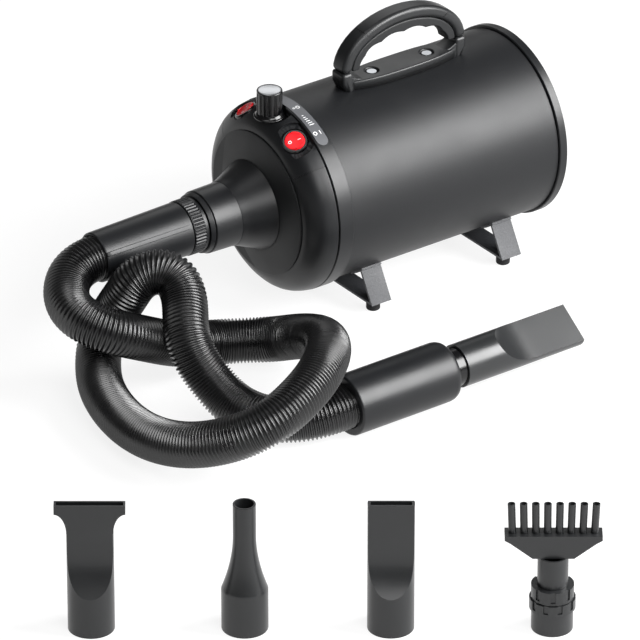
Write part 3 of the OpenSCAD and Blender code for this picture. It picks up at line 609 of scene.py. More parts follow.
# share of a rib's length, share of its depth
RIB_RINGS = ((0.0, 1.0), (0.2, 0.85), (0.35, 0.2), (0.5, 0.0), (0.65, 0.2), (0.8, 0.85))


def route_curve():
    """Fine points of the cubic that runs along the route."""
    points = [spot(*p) for p in ROUTE]
    points = [2 * points[0] - points[1]] + points + [2 * points[-1] - points[-2]]
    fine = []
    for i in range(len(points) - 3):
        a, b, c, d = points[i : i + 4]
        for k in range(24):
            t = k / 24
            fine.append(
                ((1 - t) ** 3 * a + (3 * t**3 - 6 * t**2 + 4) * b
                 + (-3 * t**3 + 3 * t**2 + 3 * t + 1) * c + t**3 * d) / 6
            )
    a, b, c = points[-3:]
    fine.append((a + 4 * b + c) / 6)
    return fine


def even_steps(points, count):
    """Points at equal steps along a line of fine points."""
    reached = [0.0]
    for last, point in zip(points, points[1:]):
        reached.append(reached[-1] + (point - last).length)
    total, even, k = reached[-1], [], 0
    for i in range(count + 1):
        s = total * i / count
        while k < len(points) - 2 and reached[k + 1] < s:
            k += 1
        share = (s - reached[k]) / (reached[k + 1] - reached[k])
        even.append(points[k].lerp(points[k + 1], share))
    return even


def sweep_frames(points):
    """Each point with two directions square to the route, carried along without twist."""
    frames, normal = [], UP
    for i, point in enumerate(points):
        heading = (points[min(i + 1, len(points) - 1)] - points[max(i - 1, 0)]).normalized()
        normal = (normal - normal.dot(heading) * heading).normalized()
        frames.append((point, normal, heading.cross(normal)))
    return frames


def tube_rings(frames, radii, sides):
    """Rings of points round the frames."""
    turns = [math.tau * j / sides for j in range(sides)]
    return [
        point + (n * math.cos(a) + b * math.sin(a)) * r
        for (point, n, b), r in zip(frames, radii)
        for a in turns
    ]


def tube_faces(first, count, sides, inward=False):
    """Quads between neighbouring rings."""
    faces = []
    for k in range(count - 1):
        for j in range(sides):
            a, b = first + k * sides + j, first + k * sides + (j + 1) % sides
            quad = (a, b, b + sides, a + sides)
            faces.append(quad[::-1] if inward else quad)
    return faces


class DRYER_OT_hose(bpy.types.Operator):
    """Sweeps the ribbed hose along its route"""

    bl_idname = "dryer.hose"
    bl_label = "Hose"

    def execute(self, context):
        size = sizes()
        sides = size.hose_sides
        ribs = round(HOSE_LENGTH / size.rib_pitch)
        fine = route_curve()
        frames = sweep_frames(even_steps(fine, ribs * RIB_STEPS))
        outer, radii = [], []
        for rib in range(ribs):
            for share, groove in RIB_RINGS:
                outer.append(frames[round((rib + share) * RIB_STEPS)])
                radii.append(HOSE_RADIUS - size.rib_depth * groove)
        outer.append(frames[-1])
        radii.append(HOSE_RADIUS - size.rib_depth)
        inner = frames[:: RIB_STEPS * 3]
        if inner[-1] is not frames[-1]:
            inner.append(frames[-1])
        points = tube_rings(outer, radii, sides) + tube_rings(inner, [HOSE_BORE] * len(inner), sides)
        n = len(outer) * sides
        faces = tube_faces(0, len(outer), sides) + tube_faces(n, len(inner), sides, inward=True)
        last_out, last_in = n - sides, n + (len(inner) - 1) * sides
        for j in range(sides):
            k = (j + 1) % sides
            faces.append((k, j, n + j, n + k))
            faces.append((last_out + j, last_out + k, last_in + k, last_in + j))
        mesh = bpy.data.meshes.new("ribbed_hose")
        mesh.from_pydata(points, [], faces)
        hose = bpy.data.objects.new("ribbed_hose", mesh)
        context.scene.collection.objects.link(hose)
        smooth(hose, 180)
        done(hose, finish("hose_plastic"), "machine", "hose_plastic", "hose")
        path = even_steps(fine, 320)
        return {"FINISHED"}


# ---- drum and front ----

AXIS_MID = over(0, 0, 0)
DRUM_R, DRUM_IN = 85, 83.8
DRUM_BACK = 166  # X of the drum's back edge, mm
RING_R = 87.8
SEAM_X = -77
PANEL_X = SEAM_X - 24
CONE_X = PANEL_X - 6.4
# distance before the seam, drop below the band
DOME = [
    (0, 0.3), (4.5, 1.0), (9, 2.3), (12, 3.7), (15, 5.8), (17.5, 8.4), (20, 11.8), (22.2, 15.6), (24, 19.8),
]
CTRL_X = -88
SWITCH_Y, SWITCH_Z = 37.5, 73
SWITCH_TURN, SWITCH_TILT, SWITCH_ROLL = 128, 35, 110
DECK_Z = 80.5
DISH_R = 14.8  # radius of the knob's dish, mm


def turned(name, profile, steps=160):
    """Turned piece round the drum's axis, from points of (X, radius) in mm."""
    return lathe(name, profile, AXIS_MID, FORE, steps)


def at_switch(side):
    """Place of a switch: side is -1 at the near side and 1 at the far one."""
    return (
        Matrix.Translation(over(CTRL_X, side * SWITCH_Y, SWITCH_Z))
        @ Matrix.Rotation(math.radians(side * SWITCH_TURN), 4, "Z")
        @ Matrix.Rotation(math.radians(SWITCH_TILT), 4, "Y")
        @ Matrix.Rotation(math.radians(-side * SWITCH_ROLL), 4, "Z")
    )


def plug(name, radius, low, high, steps=64, top=None):
    """Solid round cutter along Z from low to high, in mm; top is its radius at the high end."""
    top = radius if top is None else top
    return lathe(name, [(low, 0), (low, radius), (high, top), (high, 0)], steps=steps)


def about(angle):
    """Turn about the drum's axis, in degrees from the top towards the near side."""
    return Matrix.Translation(AXIS_MID) @ Matrix.Rotation(math.radians(angle), 4, "X")


def shift(x=0, z=0):
    """Move from the world's origin to X along the drum and a height over its axis, in mm."""
    return Matrix.Translation(over(x, 0, z))


def tube_profile(x0, x1, inner, outer):
    """Wall of a tube between two places along its axis."""
    return [(x0, inner), (x1, inner), (x1, outer), (x0, outer)]


class DRYER_OT_drum(bpy.types.Operator):
    """Rolls the painted drum and the wider band at its front"""

    bl_idname = "dryer.drum"
    bl_label = "Drum"

    def execute(self, context):
        shell = turned("drum_tube", tube_profile(DRUM_FRONT, DRUM_BACK, DRUM_IN, DRUM_R))
        soften(shell, 0.3)
        done(shell, finish("powder_coat"), "machine", "painted_steel", "drum_shell")
        lap = DRUM_FRONT + 12
        band = turned(
            "front_band",
            [(SEAM_X + 1.5, 87.1), (SEAM_X + 2.1, RING_R), (lap - 0.7, RING_R), (lap, RING_R - 0.8),
             (lap, DRUM_R + 0.1), (DRUM_FRONT - 0.1, DRUM_R + 0.1), (DRUM_FRONT - 0.1, 80), (SEAM_X, 80),
             (SEAM_X, 84), (SEAM_X + 1.5, 84)],
        )
        carve(band, place(plug("knob_room", DISH_R, -2, 30), shift(CTRL_X, DECK_Z)))
        for side in (-1, 1):
            carve(band, place(plug("body_room", 11.9, -20, 1), at_switch(side)))
        soften(band, 0.35)
        done(band, finish("moulded"), "machine", "moulded_black", "front_trim_ring")
        return {"FINISHED"}


LABEL_X = (SEAM_X + 3.6, SEAM_X + 15)  # X of the label's two edges, mm
LABEL_TOP = 0.42  # height of the label's face over the band, mm
LABEL_END = 34.3  # angle from the top at which the label's round end starts
PRINT = (-0.3, 0.05)  # foot and top of a printed mark against the face it is on, mm


def on_label(x, angle):
    """Place on the label: X, and degrees from the top towards the near side."""
    return about(angle) @ Matrix.Translation(Vector((x, 0, RING_R + LABEL_TOP)) * MM)


def ring_mark(name, radius, width):
    """Printed ring."""
    return lathe(name, tube_profile(*PRINT, radius - width, radius), steps=40)


def bar_mark(name, length, width):
    """Printed bar along X."""
    low, high = PRINT
    end = length / 2
    return plank(name, [(-end, low), (end, low), (end, high), (-end, high)], width)


class DRYER_OT_label(bpy.types.Operator):
    """Lays the curved label on the band, with plain on and off marks and a scale"""

    bl_idname = "dryer.label"
    bl_label = "Label"

    def execute(self, context):
        low, high = LABEL_X
        half = (high - low) / 2
        film = turned("label_film_strip", tube_profile(low, high, RING_R + 0.02, RING_R + LABEL_TOP), 240)
        for side in (-1, 1):
            tool = plug("round_end", half, 20, 110, 64)
            place(tool, Matrix.Translation(Vector(((low + high) / 2, 0, 0)) * MM))
            side_box = block("rest", Vector((low, 0, 20)) * MM, Vector((high, 95, 110)) * MM)
            carve(tool, side_box, "UNION")
            place(tool, Matrix.Diagonal((1, -side, 1, 1)))
            place(tool, about(-side * LABEL_END))
            only(tool)
            bpy.ops.object.mode_set(mode="EDIT")
            tidy_mesh()
            carve(film, tool, "INTERSECT")
        smooth(film, 30)
        done(film, finish("label_film"), "machine", "label_film", "label_plate")
        middle = (low + high) / 2
        marks = [
            place(ring_mark("off_mark", 1.9, 0.55), on_label(middle - 2.6, 29.5)),
            place(bar_mark("on_mark", 0.6, 3.8), on_label(middle + 2.6, 29.5)),
        ]
        for i in range(6):
            mark = bar_mark(f"tick_{i}", 2.0 + 0.6 * i, 0.55)
            marks.append(place(mark, on_label(middle - 1.4 + 0.3 * i, 15 + 1.6 * i)))
        marks.append(place(ring_mark("low_mark", 1.1, 0.45), on_label(middle - 2.0, 7)))
        marks.append(place(ring_mark("high_mark", 1.9, 0.5), on_label(middle + 2.0, 7)))
        print_layer = join(*marks)
        print_layer.name = "label_marks"
        done(print_layer, finish("white_print"), "machine", "label_film")
        return {"FINISHED"}


SPLIT_ANGLE = 50  # degrees from the top at which the control deck ends


class DRYER_OT_cap(bpy.types.Operator):
    """Moulds the dome with its knob dish and switch pockets, and the panel in its face"""

    bl_idname = "dryer.cap"
    bl_label = "Cap and panel"

    def execute(self, context):
        outer = [(SEAM_X - forward, RING_R - drop) for forward, drop in DOME]
        inner = [(PANEL_X + 7, 63), (PANEL_X + 11, 70), (PANEL_X + 17, 75.5), (SEAM_X, 78.5),
                 (SEAM_X + 9, 77), (SEAM_X + 9, 79.8), (SEAM_X, 79.8)]
        cap = turned("dome", outer + [(PANEL_X, 63)] + inner, 192)
        skin = [(x - 2, r + 6) for x, r in outer] + [(x + 0.4, r - 0.7) for x, r in reversed(outer)]
        filled = [(SEAM_X, 0)] + [(x + 0.8, r - 1.2) for x, r in outer] + [(PANEL_X + 0.8, 0)]
        for side in (-1, 1):
            split = block("split", Vector((-104, -0.3, 50)) * MM, Vector((-76, 0.3, 96)) * MM)
            place(split, about(-side * SPLIT_ANGLE))
            carve(split, turned("skin", skin, 192), "INTERSECT")
            carve(cap, split)
            boss = place(plug("boss", 14.6, -9, -2.4), at_switch(side))
            carve(cap, carve(boss, turned("filled", filled, 192), "INTERSECT"), "UNION")
            carve(cap, place(plug("pocket", 17.5, -2.0, 30, 96), at_switch(side)))
            carve(cap, place(plug("seat", 12.5, -3.5, 5, 96), at_switch(side)))
            carve(cap, place(plug("hole", 10.05, -20, 5, 96), at_switch(side)))
        at_knob = shift(CTRL_X, DECK_Z)
        knob_boss = place(plug("knob_boss", 16.4, -8.5, 0.1), at_knob)
        carve(cap, carve(knob_boss, turned("filled", filled, 192), "INTERSECT"), "UNION")
        carve(cap, place(plug("dish", DISH_R, 0, 20, 96, DISH_R + 20), at_knob))
        carve(cap, place(plug("bush_hole", 3.6, -30, 5), at_knob))
        soften(cap, 0.45)
        done(cap, finish("moulded"), "machine", "moulded_black", "front_cap")

        panel = turned(
            "face_panel",
            [(PANEL_X - 0.1, 66), (PANEL_X - 1.3, 66.4), (PANEL_X - 1.9, 65.4), (PANEL_X - 3.2, 60),
             (PANEL_X - 4.6, 53), (PANEL_X - 5.7, 47), (CONE_X - 0.2, 43), (CONE_X, 41.5), (CONE_X, 36.2),
             (PANEL_X - 0.1, 36.2)],
            192,
        )
        recess = [(46, 80), (46, 13), (14, -50), (-1, -68), (20, -90), (90, -90), (90, 80)]
        cutter = board("recess", [over(PANEL_X - 12, y, z) for y, z in recess], FORE * 9.8 * MM)
        carve(panel, cutter)
        soften(panel, 0.35)
        done(panel, finish("moulded_panel"), "machine", "moulded_black", "front_panel")
        return {"FINISHED"}


PIVOT = -2.5  # height of a rocker's pivot over the switch's face, mm
TIP = 7  # degrees that a rocker leans at rest


class DRYER_OT_controls(bpy.types.Operator):
    """Makes the fluted knob with its spun disc, and the two round rocker switches"""

    bl_idname = "dryer.controls"
    bl_label = "Knob and switches"

    def execute(self, context):
        self.knob()
        self.switch("power", -1)
        self.switch("heat", 1)
        return {"FINISHED"}

    def knob(self):
        foot = DECK_Z + 0.6
        base = over(CTRL_X, 0, foot)
        flutes, fine, radius, dip = 11, 16, 11.4, 1.2
        outline = []
        for i in range(flutes * fine):
            a = math.tau * i / (flutes * fine)
            groove = max(0.0, math.cos(flutes * a)) ** 1.5
            r = radius - dip * groove
            outline.append(base + Vector((r * math.cos(a), r * math.sin(a), 4.4)) * MM)
        body = board("fluted_knob", outline, UP * 20.4 * MM)
        soften(body, 0.5)
        skirt = lathe(
            "skirt",
            [(0, 3.1), (0, 13.6), (0.4, 14), (1.3, 14), (1.9, 13.4), (2.3, 12.6), (3.3, 12.2), (4.6, 11),
             (4.6, 3.1)],
            base, UP, 96,
        )
        soften(skirt, 0.25)
        lip = [(24.2, 10.5), (25.9, 10.5), (25.9, 11.0), (25.4, 11.4), (24.2, 11.4)]
        rim = lathe("rim", lip, base, UP, 96)
        soften(rim, 0.15)
        knob = join(body, skirt, rim)
        knob.name = "knob_body"
        done(knob, finish("polished_black"), "knob", "knob_black", "knob")
        top = over(CTRL_X, 0, DECK_Z + 24.8)
        face = [(0, 0), (0, 10.4), (1.2, 10.4), (1.6, 10.0), (1.8, 9.4), (1.7, 0)]
        disc = lathe("knob_disc", face, top, UP, 128)
        smooth(disc, 30)
        done(disc, finish("spun_aluminium"), "knob", "spun_aluminium", "knob_cap")

    def switch(self, name, side):
        here = at_switch(side)
        bezel = copy_of(f"{name}_bezel", f"{name}_housing")
        soften(bezel, 0.35)
        done(bezel, finish("polished_black"), "machine", "knob_black", f"{name}_bezel")
        rocker = copy_of(f"{name}_rocker", f"{name}_button_top")
        tilted = here @ Matrix.Translation(UP * PIVOT * MM) @ Matrix.Rotation(math.radians(-TIP), 4, "Y")
        bowl = [(1.9 + r * r / 120, r) for r in (0, 2, 4, 6, 7.7)]
        carve(rocker, place(lathe("dish", bowl + [(8, 7.7), (8, 0)]), tilted))
        soften(rocker, 0.3, 3)
        done(rocker, finish("button_red"), f"{name}_button", "rocker_red", f"{name}_rocker")
        on_face = Matrix.Translation(Vector((4.2, 0, 2.08)) * MM) @ Matrix.Rotation(math.radians(-4), 4, "Y")
        half_turn = Matrix.Rotation(math.pi, 4, "Z")
        off = place(ring_mark(f"{name}_off", 1.5, 0.55), tilted @ half_turn @ on_face)
        on = place(bar_mark(f"{name}_on", 3.0, 0.6), tilted @ on_face)
        marks = join(off, on)
        marks.name = f"{name}_marks"
        done(marks, finish("white_print"), f"{name}_button", "label_film")


class DRYER_OT_outlet(bpy.types.Operator):
    """Turns the outlet cone, the knurled lock ring and the hose's cuff"""

    bl_idname = "dryer.outlet"
    bl_label = "Outlet"

    def execute(self, context):
        neck, lip, spigot = -137, -164, -169.5
        cone = turned(
            "outlet_funnel",
            [(PANEL_X, 36), (CONE_X - 0.1, 36), (CONE_X - 0.1, 41.2), (CONE_X - 2, 40.4), (-116, 37.4),
             (-122, 34.9), (-128, 32.3), (-133, 30.4), (neck, 29.6), (neck - 0.7, 29.1), (lip, 28.5),
             (lip - 0.5, 28.0), (lip - 0.6, 27.1), (lip - 1.4, 27.1), (lip - 1.5, 27.6), (spigot, 26.6),
             (spigot, 20.5), (spigot - 26, 20.5), (spigot - 26, 18), (neck, 18), (CONE_X - 4, 32.3),
             (PANEL_X, 32.3)],
            160,
        )
        soften(cone, 0.3)
        done(cone, finish("moulded"), "machine", "moulded_black", "outlet_cone")
        self.lock_ring(spigot)
        self.cuff(spigot)
        return {"FINISHED"}

    def lock_ring(self, spigot):
        teeth, fine = 48, 6
        outline = []
        for i in range(teeth * fine):
            a = math.tau * i / (teeth * fine)
            r = 25 - 0.8 * max(0.0, math.cos(teeth * a))
            outline.append(over(spigot - 14.4, r * math.sin(a), r * math.cos(a)))
        ring = board("knurled_band", outline, FORE * 10.6 * MM)
        bore = 20.55
        carve(ring, turned("bore", [(spigot - 40, 0), (spigot - 40, bore), (spigot, bore), (spigot, 0)], 96))
        collar = turned(
            "collar",
            [(spigot - 3.8, bore), (spigot - 3.8, 24.9), (spigot - 0.6, 24.9), (spigot - 0.35, 24.5),
             (spigot - 0.35, bore)],
        )
        back = turned(
            "back",
            [(spigot - 15.3, bore), (spigot - 15.3, 24.2), (spigot - 14.9, 24.6), (spigot - 14.4, 24.6),
             (spigot - 14.4, bore)],
        )
        for part in (ring, collar, back):
            soften(part, 0.15)
        ring = join(ring, collar, back)
        ring.name = "lock_collar"
        done(ring, finish("moulded"), "lock_ring", "moulded_black", "lock_ring")

    def cuff(self, spigot):
        start, end = spigot - 15.7, CUFF_END
        sleeve = turned(
            "hose_cuff",
            [(start, 20.9), (start, 23.6), (start - 0.7, 24.4), (end + 1.5, 22.5), (end, 21.6), (end, 20.4),
             (end + 19.2, 20.4), (end + 19.2, 17.5), (spigot - 26.5, 17.5), (spigot - 26.5, 20.9)],
        )
        soften(sleeve, 0.3)
        side_view = [(end + 0.2, 20.4), (start - 0.4, 22.6), (start - 0.4, 24.0), (start - 4, 24.6),
                     (end + 4, 24.6), (end + 0.2, 23)]
        ribs = []
        for angle in (60, 240):
            rib = place(plank("rib", side_view, 4), about(angle))
            soften(rib, 0.6)
            ribs.append(rib)
        cuff = join(sleeve, *ribs)
        cuff.name = "hose_cuff"
        done(cuff, finish("moulded"), "machine", "moulded_black", "machine_cuff")


# ---- rear ----


class DRYER_OT_rear(bpy.types.Operator):
    """Finishes the rear rim, the intake cover with its grille, and the cord's gland"""

    bl_idname = "dryer.rear"
    bl_label = "Rear"

    def execute(self, context):
        for name, piece, width, material, body, slot in (
            ("rear_rim", "rear_band", 0.6, "moulded", "machine", "moulded_black"),
            ("rear_cover", "intake_plate", 0.5, "moulded_panel", "machine", "moulded_black"),
            ("rear_grille", "intake_grille", 0.2, "moulded", "machine", "moulded_black"),
            ("filter_cover", "filter_lid", 0.3, "moulded", "filter_door", "moulded_black"),
            ("cord_gland", "gland", 0.3, "rubber", "machine", "rubber"),
            ("rear_screws", "cover_screws", 0.25, "plated_steel", "machine", "steel"),
        ):
            finished_copy(name, piece, width, finish(material), body, slot)
        return {"FINISHED"}


# ---- handle ----

ARCH_MID = 52.25  # X of the arch's middle, mm
ARCH_END = 102  # height of the arch's ends over the drum's axis, mm
ARCH_HALF, ARCH_RISE = 67.25, 44.5  # half length of the arch, and its rise over its ends
PLATE = (-4, 108.5)  # X of the plate's ends, mm
PLATE_TOP = 93  # height of the plate's top over the drum's axis, mm
PLATE_FOOT = 80  # height at which its sides start, inside the drum's curve, mm
SCREW_X, SCREW_SPAN = 22.5, 60.2


class DRYER_OT_handle(bpy.types.Operator):
    """Makes the arched handle with its scalloped grip, its base and its screws"""

    bl_idname = "dryer.handle"
    bl_label = "Handle"

    def execute(self, context):
        arch = copy_of("handle_arch", "handle_shell")
        soften(arch, 4.2, 5)
        for angle in (-52, 58):
            s, c = math.sin(math.radians(angle)), math.cos(math.radians(angle))
            reach = 1 / math.hypot(s / ARCH_HALF, c / ARCH_RISE)
            turn = shift(ARCH_MID, ARCH_END) @ Matrix.Rotation(math.radians(angle), 4, "Y")
            for y0, y1, z0 in ((-15, 15, reach - 0.8), (-15, -8.9, 20), (8.9, 15, 20)):
                slit = block("slit", Vector((-0.3, y0, z0)) * MM, Vector((0.3, y1, 90)) * MM)
                carve(arch, place(slit, turn))
        done(arch, finish("handle_plastic"), "machine", "handle_plastic", "handle_arch")
        grip = copy_of("handle_grip", "scalloped_grip")
        soften(grip, 2.0, 3, 45)
        done(grip, finish("grip_rubber"), "machine", "handle_soft", "handle_grip")
        self.base()
        finished_copy("handle_screws", "handle_bolts", 0.5, finish("plated_steel"), "machine", "steel")
        return {"FINISHED"}

    def base(self):
        """Boat-shaped plate with a scooped ramp and a rounded lug at each end."""
        middle, steps = (PLATE[0] + PLATE[1]) / 2, 24
        reach = PLATE[1] - middle
        edge = []
        for i in range(steps + 1):
            share = -1 + 2 * i / steps
            edge.append((middle + reach * share, 15 - 6 * abs(share) ** 3))
        outline = [over(x, -w, PLATE_FOOT) for x, w in edge]
        outline += [over(x, w, PLATE_FOOT) for x, w in reversed(edge)]
        plate = board("handle_foot", outline, UP * (PLATE_TOP - PLATE_FOOT) * MM)
        for x in (SCREW_X, SCREW_X + SCREW_SPAN):
            carve(plate, place(plug("screw_way", 6.2, PLATE_TOP - 3, PLATE_TOP + 5), shift(x)))
        parts = [plate]
        for end, inwards in ((PLATE[0] - 2, 1), (PLATE[1] + 2, -1)):
            ramp = [(t / 8, 6 * (1 - t / 8) ** 2) for t in range(9)]
            line = [(end + inwards * 18 * t, PLATE_TOP - 0.5 + rise) for t, rise in ramp]
            line += [(end + inwards * 18, 82), (end, 82)]
            parts.append(place(plank("ramp", line, 17), shift()))
            tip = end - inwards * 9
            lug = [(tip, ARCH_END - 0.1), (tip, 92), (tip + inwards * 4.5, 83), (tip + inwards * 4.5, 70),
                   (tip + inwards * 12, 70), (tip + inwards * 11, ARCH_END - 0.1)]
            parts.append(place(plank("lug", lug, 19), shift()))
        room = DRUM_R + 0.1
        for part in parts:
            soften(part, 1.5 if part is plate else 3, 4, 40)
            carve(part, turned("drum_room", [(-40, 0), (-40, room), (140, room), (140, 0)]))
            smooth(part, 40)
        base = join(*parts)
        base.name = "handle_foot"
        done(base, finish("handle_plastic"), "machine", "moulded_black", "handle_base")


# ---- feet ----


class DRYER_OT_feet(bpy.types.Operator):
    """Finishes the bent straps, their rubber feet and their screws"""

    bl_idname = "dryer.feet"
    bl_label = "Feet"

    def execute(self, context):
        for end in ("front", "rear"):
            strap = f"{end}_strap"
            finished_copy(f"{end}_foot_bracket", strap, 0.4, finish("strap_coat"), "machine", "coated_strap")
        finished_copy("rubber_feet", "rubber_pads", 0.5, finish("rubber"), "machine", "rubber")
        finished_copy("foot_screws", "strap_screws", 0.3, finish("plated_steel"), "machine", "steel")
        return {"FINISHED"}


# ---- handset ----

SET_MID = spot(0, -222, 27)
FITTED_ROLL = 124.4  # turn of the flat nozzle about the handset, degrees


class DRYER_OT_handset(bpy.types.Operator):
    """Turns the handset's grip and adapter, and cuts its flat nozzle"""

    bl_idname = "dryer.handset"
    bl_label = "Handset"

    def execute(self, context):
        start, end = -168, -61
        grip = lathe(
            "handset_grip",
            [(start, 20.5), (start, 25.4), (start + 0.6, 26.4), (start + 1.8, 27), (end - 7, 27),
             (end - 4, 26.5), (end - 2, 25.6), (end - 0.7, 24.2), (end, 22), (end, 17.56), (end - 24, 17.56),
             (end - 24, 16), (start + 20.2, 16), (start + 20.2, 20.5)],
            SET_MID, FORE, 128,
        )
        soften(grip, 0.3)
        done(grip, finish("moulded"), "machine", "moulded_black", "grip_sleeve")
        adapter = lathe("adapter_ring", tube_profile(end - 23.8, end + 30, 14.5, 17.5), SET_MID, FORE, 128)
        soften(adapter, 0.3)
        done(adapter, finish("polished_black"), "adapter", "moulded_black", "nozzle_adapter")
        nozzle = flat_nozzle("handset_nozzle", 126)
        place(
            nozzle,
            Matrix.Translation(SET_MID + FORE * (end + 12) * MM)
            @ Matrix.Rotation(math.pi / 2, 4, "Y")
            @ Matrix.Rotation(math.radians(FITTED_ROLL), 4, "Z"),
        )
        soften(nozzle, 0.4)
        done(nozzle, finish("nozzle_plastic"), "nozzle", "nozzle_plastic", "fitted_nozzle")
        return {"FINISHED"}


# ---- nozzles ----

NOZZLE_R = 19.4
NOZZLE_WALL = 1.8
SOCKET_LEN = 36
MOUTH_T = 9
ROW_TURN = -36
NOZZLE_H = 117


def stand(x, y):
    """Standing place in the row of spare nozzles."""
    return Matrix.Translation(spot(x, y, 0)) @ Matrix.Rotation(math.radians(ROW_TURN), 4, "Z")


def scoop_outline(radius, thin, height, extra):
    """Side view of the tube drawn in to its flat mouth."""
    curve = []
    steps = 30
    for i in range(steps + 1):
        a = math.pi / 2 * i / steps
        curve.append((thin + (radius + 0.5 - thin) * (1 - math.sin(a)) ** 1.5, SOCKET_LEN + 46 * i / steps))
    right = [(radius + 0.5, -extra)] + curve + [(thin, height + extra)]
    return right + [(-x, z) for x, z in reversed(right)]


def flat_tube(name, height, radius, thin, extra):
    """Round at the socket and flat at the mouth."""
    top = height + extra
    tube = lathe(name, [(-extra, 0), (-extra, radius), (top, radius), (top, 0)], steps=128)
    outline = [Vector((-2 * radius, y, z)) * MM for y, z in scoop_outline(radius, thin, height, extra)]
    return carve(tube, board("side_view", outline, FORE * 4 * radius * MM), "INTERSECT")


def socket_cut(piece, height):
    """Cuts the socket and the air's way through a flat nozzle."""
    inner = NOZZLE_R - NOZZLE_WALL
    carve(piece, lathe("socket", [(-1, 0), (-1, inner), (SOCKET_LEN, inner), (SOCKET_LEN, 0)], steps=128))
    carve(piece, flat_tube("air_way", height, inner - 0.6, MOUTH_T / 2 - NOZZLE_WALL, 1))
    return piece


def flat_nozzle(name, height):
    return socket_cut(flat_tube(name, height, NOZZLE_R, MOUTH_T / 2, 0), height)


def flare(half, inset, extra):
    """Front view of the wide mouth."""
    foot = NOZZLE_H - 26
    side = []
    for i in range(17):
        a = math.pi / 2 * i / 16
        spread = (half - NOZZLE_R + 0.2) * (1 - math.cos(a))
        side.append((NOZZLE_R - 0.2 + spread - inset, foot + 18 * math.sin(a)))
    right = side + [(half - inset, NOZZLE_H + extra)]
    return right + [(-x, z) for x, z in reversed(right)]


class DRYER_OT_nozzles(bpy.types.Operator):
    """Makes the wide, round and narrow nozzles that stand in a row"""

    bl_idname = "dryer.nozzles"
    bl_label = "Spare nozzles"

    def execute(self, context):
        wide = flat_tube("wide_mouth_nozzle", NOZZLE_H, NOZZLE_R, MOUTH_T / 2, 0)
        carve(wide, plank("fan", flare(29.2, 0, 0), MOUTH_T), "UNION")
        socket_cut(wide, NOZZLE_H)
        carve(wide, plank("fan_way", flare(29.2, NOZZLE_WALL, 1), MOUTH_T - 2 * NOZZLE_WALL))
        narrow = flat_nozzle("narrow_mouth_nozzle", NOZZLE_H)
        tip = 9.5
        taper = []
        for i in range(21):
            t = i / 20
            taper.append((SOCKET_LEN + 1 + 50 * t, tip + (NOZZLE_R - tip) * (1 - t) ** 1.9))
        wall = NOZZLE_WALL
        pencil = lathe(
            "round_mouth_nozzle",
            [(0, NOZZLE_R - wall), (0, NOZZLE_R)] + taper + [(NOZZLE_H, tip), (NOZZLE_H, tip - wall)]
            + [(a - 0.6, r - wall) for a, r in reversed(taper)],
            steps=128,
        )
        for piece, here, node_name in (
            (wide, stand(-525, -357), "wide_nozzle"),
            (pencil, stand(-423, -431), "round_nozzle"),
            (narrow, stand(-326, -501), "narrow_nozzle"),
        ):
            place(piece, here)
            soften(piece, 0.4)
            done(piece, finish("nozzle_plastic"), "machine", "nozzle_plastic", node_name)
        return {"FINISHED"}


class DRYER_OT_comb(bpy.types.Operator):
    """Makes the comb nozzle: its head, hollow tines, tube and two collars"""

    bl_idname = "dryer.comb"
    bl_label = "Comb nozzle"

    def execute(self, context):
        for name, piece, width, body in (
            ("comb_head", "comb_hood", 0.8, "machine"),
            ("comb_tines", "hollow_tines", 0.3, "machine"),
            ("comb_tube", "comb_stem", 0.4, "machine"),
            ("comb_collar_upper", "turning_collar", 0.4, "comb_collar"),
            ("comb_collar_lower", "fixed_collar", 0.4, "machine"),
        ):
            finished_copy(name, piece, width, finish("nozzle_plastic"), body, "nozzle_plastic")
        return {"FINISHED"}


# ---- everything that the solids already show ----

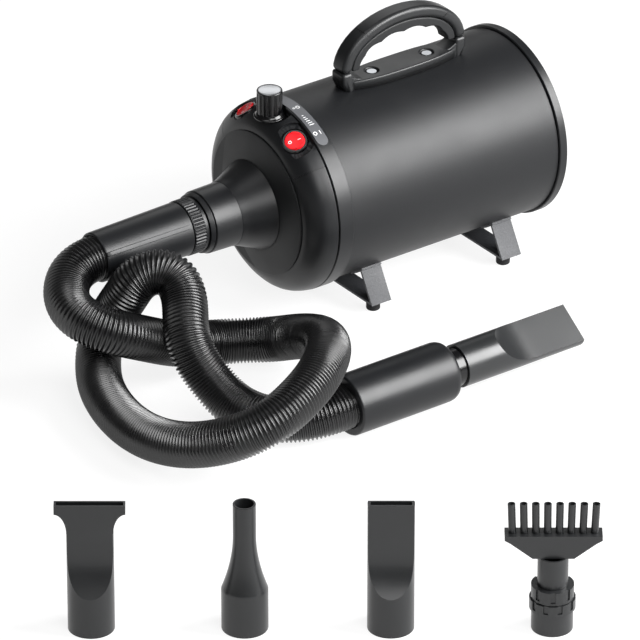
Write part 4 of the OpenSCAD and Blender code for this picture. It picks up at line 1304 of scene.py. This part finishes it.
INNER = {
    "outlet_seal": "rubber",
    "potentiometer": "motor_steel",
    "pot_nut": "brass",
    "pot_shaft": "plated_steel",
    "control_board": "board_green",
    "filter_foam": "open_foam",
    "terminal_block": "block_cream",
    "motor_body": "motor_steel",
    "motor_shaft": "plated_steel",
    "motor_mount_front": "rubber",
    "motor_mount_rear": "rubber",
    "fan_housing": "motor_steel",
    "impeller": "motor_steel",
    "air_duct": "motor_steel",
    "heater_frame": "block_cream",
    "heater_coil": "heater_wire",
    "foam_liner": "open_foam",
}


class DRYER_OT_inside(bpy.types.Operator):
    """Gives each piece inside the drum its material"""

    bl_idname = "dryer.inside"
    bl_label = "Inside"

    def execute(self, context):
        for name, material in INNER.items():
            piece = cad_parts[name]
            if not piece.material_slots:
                piece.data.materials.append(None)
            for place_for in piece.material_slots:
                place_for.material = finish(material)
        return {"FINISHED"}


STEPS = (
    DRYER_OT_stage,
    DRYER_OT_hose,
    DRYER_OT_drum,
    DRYER_OT_label,
    DRYER_OT_cap,
    DRYER_OT_controls,
    DRYER_OT_outlet,
    DRYER_OT_rear,
    DRYER_OT_handle,
    DRYER_OT_feet,
    DRYER_OT_handset,
    DRYER_OT_nozzles,
    DRYER_OT_comb,
    DRYER_OT_inside,
)


class DRYER_PT_panel(bpy.types.Panel):
    bl_label = "Pet dryer"
    bl_idname = "DRYER_PT_panel"
    bl_space_type = "VIEW_3D"
    bl_region_type = "UI"
    bl_category = "Dryer"

    def draw(self, context):
        layout = self.layout
        for group in (context.scene.dryer_sizes, context.scene.dryer_colours, context.scene.dryer_studio):
            for name in group.bl_rna.properties.keys():
                if name not in ("rna_type", "name"):
                    layout.prop(group, name)
        for step in STEPS:
            layout.operator(step.bl_idname)


GROUPS = {"dryer_sizes": DryerSizes, "dryer_colours": DryerColours, "dryer_studio": DryerStudio}


def register():
    for kind in (*GROUPS.values(), *STEPS, DRYER_PT_panel):
        bpy.utils.register_class(kind)
    for name, kind in GROUPS.items():
        setattr(bpy.types.Scene, name, bpy.props.PointerProperty(type=kind))


def unregister():
    for name in GROUPS:
        delattr(bpy.types.Scene, name)
    for kind in reversed((*GROUPS.values(), *STEPS, DRYER_PT_panel)):
        bpy.utils.unregister_class(kind)


def main():
    register()
    for step in STEPS:
        group, name = step.bl_idname.split(".")
        getattr(getattr(bpy.ops, group), name)()


if __name__ == "__main__":
    main()
